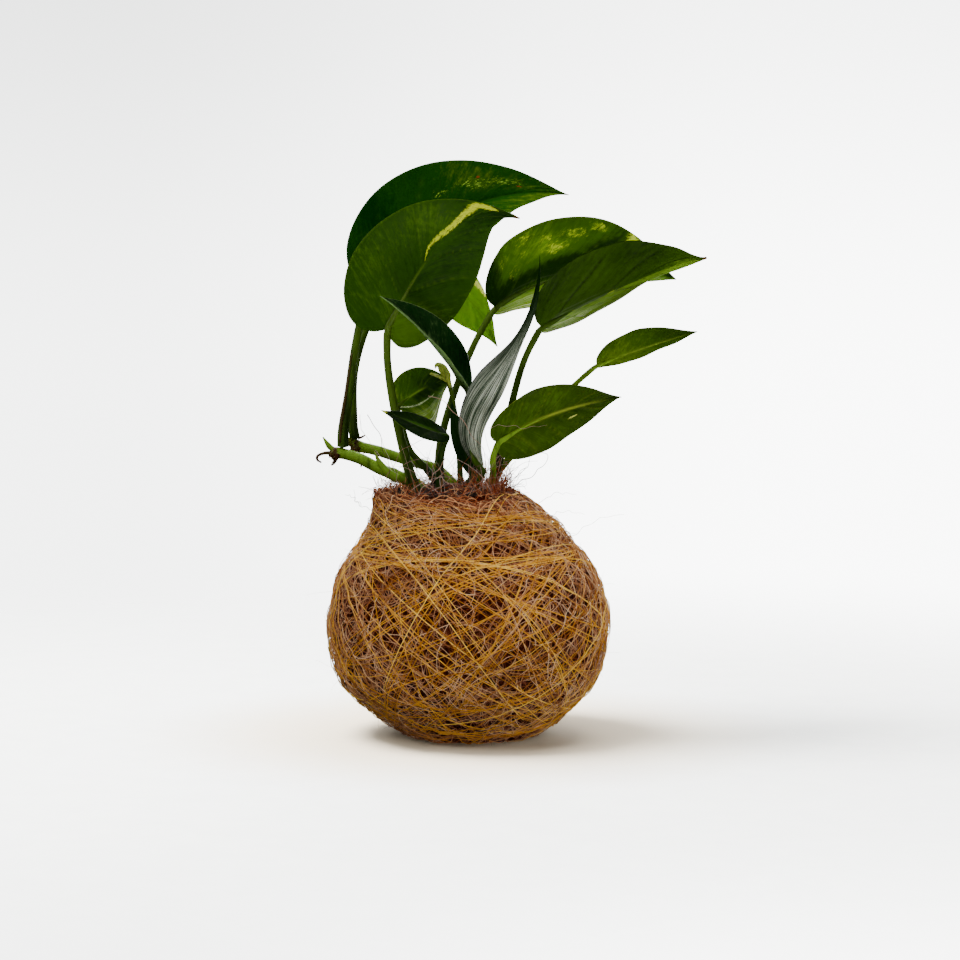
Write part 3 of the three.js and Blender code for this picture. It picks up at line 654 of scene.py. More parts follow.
def build_wraps():
    """The golden thread: the main turns as loose bundles, more turns laid in tilted planes,
    flat ones round the shoulder, and single lengths that wander."""
    gold = fibre_look("thread_gold", "925612", "d6982e", "f6ca60", 0.5)
    amber = fibre_look("thread_amber", "74390e", "b4742e", "e6b05c", 0.55)
    tan = fibre_look("thread_tan", "703a18", "b07a4a", "e4b888", 0.55)
    rng = np.random.default_rng(71)
    mesher = Mesher()
    n, sides = 140, 5
    a = np.linspace(0, TAU, n + 1)[:-1]
    start = np.arange(n) * sides
    for middle, tilt, bearing in THREAD_TURNS:
        for _ in range(3):
            at, out = on_ball(a, plane_cut(a, middle + rng.normal() * 2,
                                           tilt + rng.normal() * 2.5, bearing + rng.normal() * 6))
            wave = 0.25 * np.sin(a * rng.integers(5, 11) + rng.uniform(0, TAU))
            points = at + out * (1.2 + wave + 0.35 * clumps(at))[:, None]
            along = unit(np.roll(points, -1, 0) - np.roll(points, 1, 0))
            side = unit(np.cross(along, out))
            rings = points[:, None] + rng.uniform(0.14, 0.21) * circle(sides, side,
                                                                       np.cross(side, along))
            mesher.add(rings, bands(start, np.roll(start, -1), sides), tone=rng.uniform(0.2, 1))
    mesher.make("thread_main_turns", gold, ("binding_thread",))

    def lay(a, s):
        n, k = a.shape
        wave = 0.22 * np.sin(np.linspace(0, 1, k) * rng.uniform(8, 30, (n, 1))
                             + rng.uniform(0, TAU, (n, 1)))
        strand(mesher, rng, a, s, rng.uniform(*lift, (n, 1)) + wave, rng.uniform(*wide, n),
               4, 1.6, 0.03)

    for name, look, seed, groups, singles, wide, lift in (
            ("thread_wraps_gold", gold, 72, 22, 44, (0.12, 0.19), (1.1, 2.2)),
            ("thread_wraps_amber", amber, 73, 14, 60, (0.11, 0.17), (0.8, 2.0)),
            ("thread_wraps_tan", tan, 74, 6, 90, (0.1, 0.15), (0.9, 2.2))):
        rng = np.random.default_rng(seed)
        mesher = Mesher()
        tilt = rng.uniform(28, 62, groups)
        middle = rng.normal(43, 6, groups)
        bearing = rng.integers(0, 2, groups) * 180 + rng.normal(0, 55, groups)
        collar = rng.uniform(0, 1, groups) < 0.3
        middle = np.where(collar, rng.uniform(75, 89, groups), middle)
        tilt = np.where(collar, rng.uniform(6, 24, groups), tilt)
        bearing = np.where(collar, rng.normal(270, 30, groups), bearing)
        many = rng.integers(1, 5, groups)
        middle, tilt, bearing = (np.repeat(x, many)[:, None] for x in (middle, tilt, bearing))
        n = len(middle)
        a = (rng.uniform(0, TAU, (n, 1)) + np.linspace(0, 1, 90)[None]
             * TAU * rng.uniform(0.35, 0.98, (n, 1)))
        drift = 0.5 * np.sin(a * rng.uniform(1, 4, (n, 1)) + rng.uniform(0, TAU, (n, 1)))
        lay(a, drift + plane_cut(a, middle + rng.normal(0, 1.1, (n, 1)),
                                 tilt + rng.normal(0, 1.5, (n, 1)),
                                 bearing + rng.normal(0, 3, (n, 1))))
        lean = np.radians(rng.choice([-1, 1], singles) * rng.normal(50, 24, singles))
        heading = lean + np.pi * rng.integers(0, 2, singles)
        steps = 60
        lay(*walk(rng, rng.uniform(0, TAU, singles), rng.uniform(16, S_TOP - 10, singles),
                  heading, steps, rng.uniform(50, 190, singles) / steps, 0.003, 0.0012, 10))
        mesher.make(name, look)


def build_hairs():
    """Loose ends that stand off the ball, most of them short."""
    rng = np.random.default_rng(91)
    mesher = Mesher()
    steps = 9
    for n, low, high, length, wide, curl, lean in (
            (700, 12, 2, (2, 7), (0.07, 0.12), 0.16, (0.1, 0.6)),
            (60, 30, 4, (7, 15), (0.06, 0.1), 0.1, (0.2, 0.7))):
        at, out = on_ball(rng.uniform(0, TAU, n), rng.uniform(low, S_TOP - high, n))
        size, radius = rng.uniform(*length, n), rng.uniform(*wide, (n, 1))
        turn, lean = rng.normal(0, curl, n), rng.uniform(*lean, (n, 1))
        way = unit(rng.normal(size=(n, 3)))
        way = unit(way - out * np.sum(way * out, -1, keepdims=True))
        way = unit(way * (1 - lean) + out * lean)
        spin = unit(rng.normal(size=(n, 3)))
        lines = grow(rng, at - out * 0.6, way, spin, size, turn, steps, 0.06)
        lines[..., 2] = np.maximum(lines[..., 2], 0.2)
        tubes(mesher, lines, radius * np.linspace(1, 0.35, steps + 1), 3, HAIR_SIDE,
              tone=rng.uniform(0, 1, n))
    mesher.make("loose_hairs", fibre_look("loose_hair", "4a2412", "8a5634", "c09670"))


def build_neck():
    """Frayed fibre at the crown: strands round the rim, over the soil and up the stems, and
    the long roots and hairs that stand out of it."""
    rng = np.random.default_rng(101)
    steps = 12

    def tuft(n, radius, spread, length, lean, wide, height, curl, arc=(0, TAU), down=3.5):
        a = rng.uniform(*arc, n)
        r = radius + spread * rng.normal(size=n)
        out, around = (np.stack([x, y, np.zeros(n)], -1)
                       for x, y in ((np.cos(a), np.sin(a)), (-np.sin(a), np.cos(a))))
        at = np.array([NECK_X, 0, height]) + out * r[:, None]
        at[:, 2] -= rng.uniform(0, down, n)
        way = unit(out * rng.normal(lean[0], lean[1], (n, 1)) + around * rng.normal(0, 1, (n, 1))
                   + np.array([0, 0, 1.0]) * rng.normal(lean[2], lean[3], (n, 1)))
        spin = unit(rng.normal(size=(n, 3)))
        size, turn = rng.uniform(*length, n), rng.normal(0, curl, n)
        lines = grow(rng, at, way, spin, size, turn, steps, 0.05)
        tubes(mesher, lines, rng.uniform(*wide, (n, 1)) * np.linspace(1, 0.5, steps + 1), 3,
              HAIR_SIDE, tone=rng.uniform(0, 1, n))

    mesher = Mesher()
    for n, low, high, lift in ((420, 12, 1, (0.2, 1.6)), (150, 5, 0, (0.5, 2.2))):
        heading = np.pi / 2 * rng.choice([-1, 1], n) + rng.normal(0, 0.75, n)
        size = rng.uniform(8, 20, n)
        pa, ps = walk(rng, rng.uniform(0, TAU, n), rng.uniform(S_TOP - low, S_TOP - high, n),
                      heading, 14, size / 14, 0.07, 0.02, 2.0)
        strand(mesher, rng, pa, ps, rng.uniform(*lift, (n, 1)), rng.uniform(0.13, 0.19, n))
    for name, look, tufts in (
            ("neck_fibres", ("neck_fibre", "240903", "924a28", "dca474"), (
                (260, 25.5, 1, (4, 10), (0.05, 0.3, 0.35, 0.35), (0.12, 0.18), 98.8, 0.14),
                (110, 24, 1.5, (5, 12), (0, 0.4, 0.6, 0.35), (0.1, 0.15), 99.2, 0.16),
                (90, 18, 5, (9, 24), (0, 0.5, 0.1, 0.2), (0.11, 0.16), 101.5, 0.12, (0, TAU),
                 1.5))),
            ("neck_tuft", ("tuft_fibre", "40120a", "82381c", "b87850"), (
                (120, 23.5, 2, (8, 18), (-0.05, 0.2, 1.3, 0.3), (0.12, 0.18), 98.5, 0.12,
                 (-0.85, -0.08)),
                (60, 20, 4, (7, 14), (0, 0.4, 0.9, 0.4), (0.1, 0.16), 101, 0.15, (-1.3, 0.2)))),
            ("neck_roots", ("root_hair", "442a24", "8c6c62", "c0aca0"), (
                (36, 13, 6, (14, 32), (0.2, 0.6, 0.3, 0.3), (0.11, 0.17), 101.5, 0.05, (0, TAU),
                 1.5),
                (30, 20, 4, (12, 26), (0.1, 0.5, 0.75, 0.3), (0.1, 0.15), 100.5, 0.07,
                 (-2.6, -0.4)),
                (24, 18, 5, (14, 24), (0.1, 0.4, 1.1, 0.3), (0.1, 0.15), 100, 0.05,
                 (-0.9, 0.3))))):
        for row in tufts:
            tuft(*row)
        mesher.make(name, fibre_look(*look))
        mesher = Mesher()
    f = np.linspace(0, 1, 40)
    for radius, tone, rows in LONG_HAIRS:
        way = line(rows, 40)
        sway = np.stack([np.sin(f * 19 + radius * 90), np.cos(f * 15 + tone * 9),
                         np.sin(f * 23 + tone * 30)], -1)
        sweep(mesher, way + 0.5 * sway * np.sin(f * math.pi)[:, None], radius * (1 - 0.5 * f), 5,
              tone=tone)
    mesher.make("long_hairs", fibre_look("long_hair", "3a2018", "8a6450", "c8a892"))


def build_soil():
    """Potting mix inside the jacket: plain where hidden, crumbly at the crown."""
    columns = 96
    a = np.arange(columns) * TAU / columns
    rings = [inner_ring(z, 4.5 - 1.3 * float(smooth(z, 60, 95)), a)
             for z in (4.9, 9, 16, 27, 45, 60, 72, 80, 87, 93)]
    for share in np.linspace(1, 0.03, 30):
        p = ring(-8.9, CROWN_R * share, 96.5 + 3.4 * math.sqrt(1 - share * share * 0.98), a)
        rough = 0.7 * lumps(p, 5, 21) + 0.45 * lumps(p, 1.8, 22)
        p[:, 2] += np.minimum(rough, 1.0) * min(1.0, (1.02 - share) * 12)
        rings.append(p)
    mesher = Mesher()
    drum(mesher, np.array(rings), [rings[0].mean(0), rings[-1].mean(0)])
    rng = np.random.default_rng(31)
    turn = np.arange(6) * TAU / 6
    for _ in range(420):
        r, b = 23 * math.sqrt(rng.uniform()), rng.uniform(0, TAU)
        size = rng.uniform(0.4, 1.3)
        centre = np.array([-9 + r * math.cos(b), r * math.sin(b),
                           96.8 + 3.4 * math.sqrt(max(0.02, 1 - (r / CROWN_R) ** 2)) + 0.3 * size])
        z, wide = np.array([(-0.45, 0.1, 0.6), (0.75, 1, 0.65)])[..., None]
        crumb = np.stack([wide * np.cos(turn), wide * np.sin(turn), z + 0 * turn], -1)
        crumb = centre + size * rng.uniform(0.7, 1.2, (3, 6, 1)) * crumb
        drum(mesher, crumb, [centre + (0, 0, -0.8 * size), centre + (0, 0, 0.85 * size)])
    mesher.make("soil", soil_look(), ("soil_ball",))


# ------------------------------------------------------------------ leaves


def bezier(rib, u):
    u = np.asarray(u, float)[..., None]
    p = np.asarray(rib, float)
    return (p[0] * (1 - u) ** 3 + p[1] * 3 * (1 - u) ** 2 * u
            + p[2] * 3 * (1 - u) * u * u + p[3] * u ** 3)


def rib_frame(leaf, share):
    """Point, right-hand side and upper normal at a share of the midrib's length."""
    rib, reach = leaf["rib"], leaf["reach"]
    held = np.clip(share, 0, 1)
    u = np.interp(held * reach[-1], reach, np.linspace(0, 1, len(reach)))
    along = unit(bezier(rib, np.minimum(u + 0.001, 1)) - bezier(rib, np.maximum(u - 0.001, 0)))
    point = bezier(rib, u) + along * ((share - held) * reach[-1])[..., None]
    face, tip = (np.asarray(leaf.get(key, leaf["face"]), float) for key in ("face", "face_tip"))
    right = unit(np.cross(along, unit(face + (tip - face) * held[..., None])))
    return point, right, np.cross(right, along)


def blade_at(leaf, t, v):
    """Middle of the blade, its thickness direction, share along and width there. t runs from
    the stalk to the tip, and v across from -1 to 1."""
    half, heart, fold0, fold1 = (
        np.asarray(leaf.get(key, leaf["fold"]), float)[(v >= 0).astype(int)]
        for key in ("half", "heart", "fold", "fold_tip"))
    heart = heart[..., None]
    rows = spline(EGG_EDGE, t) * (1 - heart) + spline(HEART_EDGE, t) * heart
    edge, wide, rib = np.moveaxis(rows, -1, 0)
    slim = 1 - leaf.get("roll", 0) * smooth(rib, 0.3, 0.6)
    reach = np.abs(v)
    share = rib + (edge - rib) * reach ** 1.3
    point, right, normal = rib_frame(leaf, share)
    fold = np.radians(fold0 + (fold1 - fold0) * np.clip(share, 0, 1))[..., None]
    across = right * np.sign(v)[..., None]
    out = across * np.cos(fold) + normal * np.sin(fold)
    lean = normal * np.cos(fold) - across * np.sin(fold)
    distance = wide * reach * half * slim
    near = np.minimum(1, distance / 2)[..., None]
    thick = unit(normal * (1 - near) + lean * near)
    return point + out * distance[..., None], thick, share, distance


def skin(grid):
    """Quads of a grid of point numbers, and triangles where two of four are one point."""
    quads = np.stack([grid[:-1, :-1], grid[:-1, 1:], grid[1:, 1:], grid[1:, :-1]],
                     -1).reshape(-1, 4)
    same = quads == np.roll(quads, -1, 1)
    pinched = same.any(1)
    return quads[~pinched], quads[pinched][~same[pinched]].reshape(-1, 3)


def build_blade(leaf, look, seed):
    """Thin blade with sunken veins and a wavy edge, and the values its colours come from."""
    rows, columns = look["grid"]
    t = np.linspace(0, 1, rows + 1)
    v = np.linspace(-1, 1, columns + 1)
    v = np.sign(v) * (np.abs(v) * 0.55 + 0.45 * np.sin(np.abs(v) * math.pi / 2))
    t, v = np.meshgrid(t - 0.35 * np.sin(TAU * t) / TAU, v, indexing="ij")
    at, thick, share, wide = blade_at(leaf, t, v)
    reach, right = np.abs(v), v > 0
    length, count = leaf["reach"][-1], look["veins"]
    scale = min(1.0, length / 60)

    # side veins, the swelling between them and the midrib
    q = share - look["vein_slope"] * reach * (1 - 0.25 * reach)
    jitter = 0.25 * np.sin(q * 23 + seed) + 0.2 * np.sin(q * 41 + np.sign(v) * 2 + seed)
    phase = q * count + jitter / 2 + right * 0.37
    gap = np.abs(phase - np.round(phase)) * length / count
    fade = smooth(reach, 0.02, 0.12) * (1 - smooth(reach, 0.7, 0.95)) * smooth(share, -0.04, 0.06)
    fade = fade * (0.55 + 0.45 * np.sin(np.round(phase) * 2.4 + seed))
    vein = np.exp(-(gap / look["vein_wide"]) ** 2) * fade
    quilt = np.sin(math.pi * (phase - np.floor(phase))) ** 2 * fade
    ribline = np.exp(-(wide / look["rib_wide"]) ** 2) * (1 - smooth(share, *look["rib_fade"]))

    # upper and lower skin
    ripple = look["wave"] * scale * reach ** 3 * (
        np.sin(share * 13 + seed + right * 2) + 0.6 * np.sin(share * 23 + seed * 2 - right))
    body = 0.4 * scale * lumps(at, 18, seed + 5) * smooth(reach, 0, 0.35)
    swell = look["relief"] * (0.28 * quilt - 0.16 * vein) * scale
    thin = np.sqrt(np.maximum(0, 1 - reach ** 10)) * np.sqrt(
        np.maximum(0, 1 - np.clip(share, 0, 1) ** 30))
    middle = at + thick * ((ripple + body + swell) * smooth(share, 0, 0.08))[..., None]
    top = middle + thick * ((HALF_THICK - 0.16 * ribline) * thin)[..., None]
    low = middle - thick * ((HALF_THICK + 0.1 * vein) * thin)[..., None]
    over = np.arange(t.size).reshape(t.shape)
    over[0], over[-1] = over[0, columns // 2], over[-1, columns // 2]
    under = over + t.size
    under[:, [0, -1]] = over[:, [0, -1]]
    under[[0, -1]] = over[[0, -1]]
    quads, tris = (np.concatenate([a[:, ::-1], b]) for a, b in zip(skin(over), skin(under)))
    used, place = np.unique(np.concatenate([quads.ravel(), tris.ravel()]), return_inverse=True)
    quads, tris = place[:quads.size].reshape(-1, 4), place[quads.size:].reshape(-1, 3)

    # colour values: tone holds the leaf's own tones together with painted light and shade, for
    # each side too, and sheen is painted reflected light
    def blots(key):
        total = np.zeros_like(t)
        for along, across, wide_along, wide_across, power in look[key]:
            blot = power * np.exp(-((share - along) / wide_along) ** 2
                                  - ((v - across) / wide_across) ** 2)
            total = total + blot if key == "tones" else np.maximum(total, blot)
        return total

    patch = blots("patches")
    if look["stroke"]:
        marks = [[*at.reshape(-1, 3)[np.argmin((share - along) ** 2 + (0.3 * (v - across)) ** 2)],
                  width] for along, across, width in look["stroke"]]
        trail = line(marks, 60)
        off = np.linalg.norm(at[..., None, :] - trail[:, :3], axis=-1)
        width = trail[np.argmin(off, -1), 3]
        patch = np.maximum(patch, 0.85 * np.exp(-(off.min(-1) / width) ** 4))
    values = dict(
        q=q + right * 3.1, w=v, t=share, vein=vein, ribline=ribline, patch=patch,
        tone=blots("tones") + np.where(v < 0, *look["halves"]) + 0.2 * lumps(at, 14, seed + 9),
        sheen=np.clip(blots("sheens"), 0, 1), rust=blots("rusts"))
    mesher = Mesher()
    mesher.add(np.concatenate([top.reshape(-1, 3), low.reshape(-1, 3)])[used], quads, tris,
               **{key: np.tile(x.ravel(), 2)[used] for key, x in values.items()})
    mesher.make(leaf["name"] + "_blade", look["blade"], (leaf["name"],))


def in_hole(way, radii, f, scar, mark):
    """Lengthens a stalk or a vine down into its hole in the soil."""
    steps = 6
    down = way[0] + np.linspace(SOCKET, 0.4, steps)[:, None] * (0, 0, -1)
    return np.concatenate([down, way]), *(
        np.concatenate([np.full(steps, first), x])
        for first, x in ((radii[0], radii), (0, f), (mark, scar)))


def build_stalk(leaf, look):
    """Round stalk that runs on under the blade as the midrib."""
    foot, neck = leaf["radius"]
    steps, rib_steps = 60, 46
    way, f = line(leaf["stalk"], steps), np.linspace(0, 1, steps)
    radii = (foot + (neck - foot) * f) * (1 + 0.1 * np.exp(-((f - 0.93) / 0.05) ** 2)
                                          + 0.12 * np.exp(-(f / 0.18) ** 2))
    scar = np.zeros(steps)
    if leaf.get("rooted"):
        way, radii, f, scar = in_hole(way, radii, f, scar, 0.4)
    shares = np.linspace(0.02, look["rib_reach"], rib_steps)
    point, _, normal = rib_frame(leaf, shares)
    tail = neck * (1 - (1 - look["rib_size"]) * smooth(shares, 0, 0.22))
    tail = tail * (1 - 0.85 * smooth(shares, 0.05, look["rib_reach"]))
    drop = (np.maximum(tail * 0.6, 0.1) - 0.08) * smooth(shares, 0, 0.05)
    mesher = Mesher()
    sweep(mesher, np.concatenate([way[:-2], point - normal * drop[:, None]]),
          np.concatenate([radii[:-2], tail]), 16, 0.14, (0.2, 1, 0.4),
          run=np.concatenate([f[:-2] * 0.75, 0.75 + 0.25 * shares]),
          scar=np.concatenate([scar[:-2], np.zeros(rib_steps)]))
    mesher.make(leaf["name"] + "_stalk", look["stem"])


def build_leaf(leaf, seed):
    """A leaf's blade and stalk, after the length along its midrib."""
    look = PLAIN_LOOK | LOOKS[leaf["name"]]
    steps = np.diff(bezier(leaf["rib"], np.linspace(0, 1, 241)), axis=0)
    leaf["reach"] = np.concatenate([[0], np.cumsum(np.linalg.norm(steps, axis=1))])
    build_blade(leaf, look, seed)
    build_stalk(leaf, look)


# ------------------------------------------------------------------ vines


def flake(mesher, rng, at, way, length, wide, **values):
    """A dry scrap of sheath: a thin curled strip."""
    rows, cols = 9, 4
    way = unit(np.asarray(way, float))
    side = unit(np.cross(way, rng.normal(size=3)))
    f, x = np.linspace(0, 1, rows)[:, None], np.linspace(-1, 1, cols)
    half = wide * np.sin(math.pi * (0.12 + 0.85 * f)) * (1 + 0.2 * rng.normal(size=(2, rows, 1)))
    lift = 0.9 * wide * (x * x - 0.5) + 0.25 * length * f * f
    lift = lift + np.array([0.07, -0.07])[:, None, None]
    top, low = (at + way * (length * f)[..., None] + side * (half * x)[..., None]
                + np.cross(side, way) * lift[..., None])
    start, j = np.arange(rows) * 2 * cols, np.arange(cols - 1)
    cap = np.stack([j, 2 * cols - 1 - j, 2 * cols - 2 - j, j + 1], -1)
    mesher.add(np.concatenate([top, low[:, ::-1]], 1), np.concatenate([
        bands(start[:-1], start[1:], 2 * cols), cap[:, ::-1], cap + start[-1]]), **values)


def build_vines():
    """The two bare vines with their nodes, buds and dry scraps."""
    look = stem_look("vine_skin", "0c1a04", "688a26", 0.34)
    rng = np.random.default_rng(51)
    steps, bud_steps = 90, 22
    for name, path, (foot, end), nodes, buds, flakes, centre, spread, lean, long, wide, dry in (
            ("vine_stem_front",
             [(-19, -8, 101), (-24, -8, 103.6), (-35, -8, 108), (-43, -7.2, 112), (-50, -6, 114),
              (-54, -6, 114.3)], (2.4, 2.2),
             [(0.98, 0.12, 0.05, 0.9), (0.32, 0.14, 0.03, 0.12)],
             [([(-53, -6, 115), (-55.5, -5.8, 117), (-58, -5.6, 120.6)], (1.2, 1.1, 0.25), 0, 1),
              ([(-53, -6.2, 114), (-57, -6.3, 114.3), (-60, -6.5, 113.2), (-60.2, -6.9, 111.6),
                (-58.6, -7.5, 110.6)], (1.6, 0.8, 0.6, 0.6, 0.35), 1, 0.9),
              ([(-52, -7.4, 114), (-53.3, -8, 110.8), (-54.5, -8.6, 109.6)], (1.3, 0.8, 0.4),
               0.9, 0.9),
              ([(-42.5, -8.2, 112), (-42.7, -8.6, 108.8)], (0.6, 0.3), 0.9, 0.9),
              ([(-46.4, -3.4, 154), (-48.5, -6.6, 139), (-50.4, -8, 127), (-51, -7.9, 118.5)],
               (0.2, 0.5, 0.6, 0.45), 0.75, 0.9),
              ([(-28, -10, 104.2), (-31.5, -10.6, 106.5), (-35, -10.8, 110.6),
                (-37.2, -11, 115)], (1.9, 1.7, 1.2, 0.2), 0, 1)],
             11, (-53.3, -6.5, 113.6), (1, 1.2, 1.2), (-0.6, -0.6, -0.5), (1.4, 3.2), (0.3, 0.7),
             (0.6, 1)),
            ("vine_stem_back",
             [(-6, 5.5, 101), (-12, 5, 106.4), (-19, 4.5, 109), (-29, 4, 112), (-37, 3, 114.6),
              (-46.5, 2, 116.8)], (2.2, 2.1),
             [(0.97, 0.3, 0.05, 0.7), (0.5, 0.1, 0.03, 0.15)],
             [([(-44.5, 1, 116.4), (-46.2, 0.2, 114.6), (-47.4, -0.6, 112.4)], (2, 1.5, 0.6),
               0.75, 0.9),
              ([(-45, 1.6, 117), (-48, 1.4, 119), (-49.5, 1.2, 120.2)], (1.7, 1.2, 0.5), 0.6,
               0.9)],
             16, (-45.6, 0.4, 116.2), (1.4, 1.2, 1.6), (-0.4, -0.8, 0.3), (1.4, 3.6), (0.3, 0.8),
             (0.55, 1))):
        f = np.linspace(0, 1, steps)
        radii = foot + (end - foot) * f
        scar = np.zeros(steps)
        for place, swell, size, mark in nodes:
            radii = radii * (1 + swell * np.exp(-((f - place) / size) ** 2))
            scar = np.maximum(scar, mark * np.exp(-((f - place) / (size * 0.7)) ** 2))
        way, radii, f, scar = in_hole(line(path, steps), radii, f, scar, 0.3)
        mesher = Mesher()
        sweep(mesher, way, radii, 18, 0.06, (0, -0.2, 1), run=0.25 + 0.6 * f, scar=scar)
        for rows, sizes, mark, run in buds:
            radii = np.interp(np.linspace(0, 1, bud_steps), np.linspace(0, 1, len(sizes)), sizes)
            sweep(mesher, line(rows, bud_steps), radii, 10, run=run, scar=mark)
        for _ in range(flakes):
            flake(mesher, rng, centre + rng.normal(size=3) * spread, rng.normal(size=3) + lean,
                  rng.uniform(*long), rng.uniform(*wide), run=0, scar=rng.uniform(*dry))
        mesher.make(name, look, (name,))


def build_young_sheath():
    """Thin pale scraps that curl round the leaf that is still unfurling."""
    rng = np.random.default_rng(57)
    mesher = Mesher()
    for at, way, length, wide in (
            ((-7.2, -6.6, 140.5), (-0.3, -0.1, 1), 8.5, 1),
            ((-8.2, -7, 143), (-0.8, -0.1, 0.65), 7.5, 1.1),
            ((-8.8, -6.2, 144), (-0.45, 0, 0.85), 6.5, 0.9)):
        flake(mesher, rng, at, way, length, wide, run=rng.uniform(0.5, 1), scar=0)
    mesher.make("leaf_unfurling_sheath", stem_look("sheath_young", "28360a", "8a9638"))


# ------------------------------------------------------------------ looks of each leaf

STEM = stem_look("stalk_skin", "0c1c02", "32480e")
STEM_PALE = stem_look("stalk_skin_pale", "122203", "3e5416")
STEM_BRIGHT = stem_look("stalk_skin_bright", "1c3605", "66861e")
STEM_DARK = stem_look("stalk_skin_dark", "061203", "243c0a")
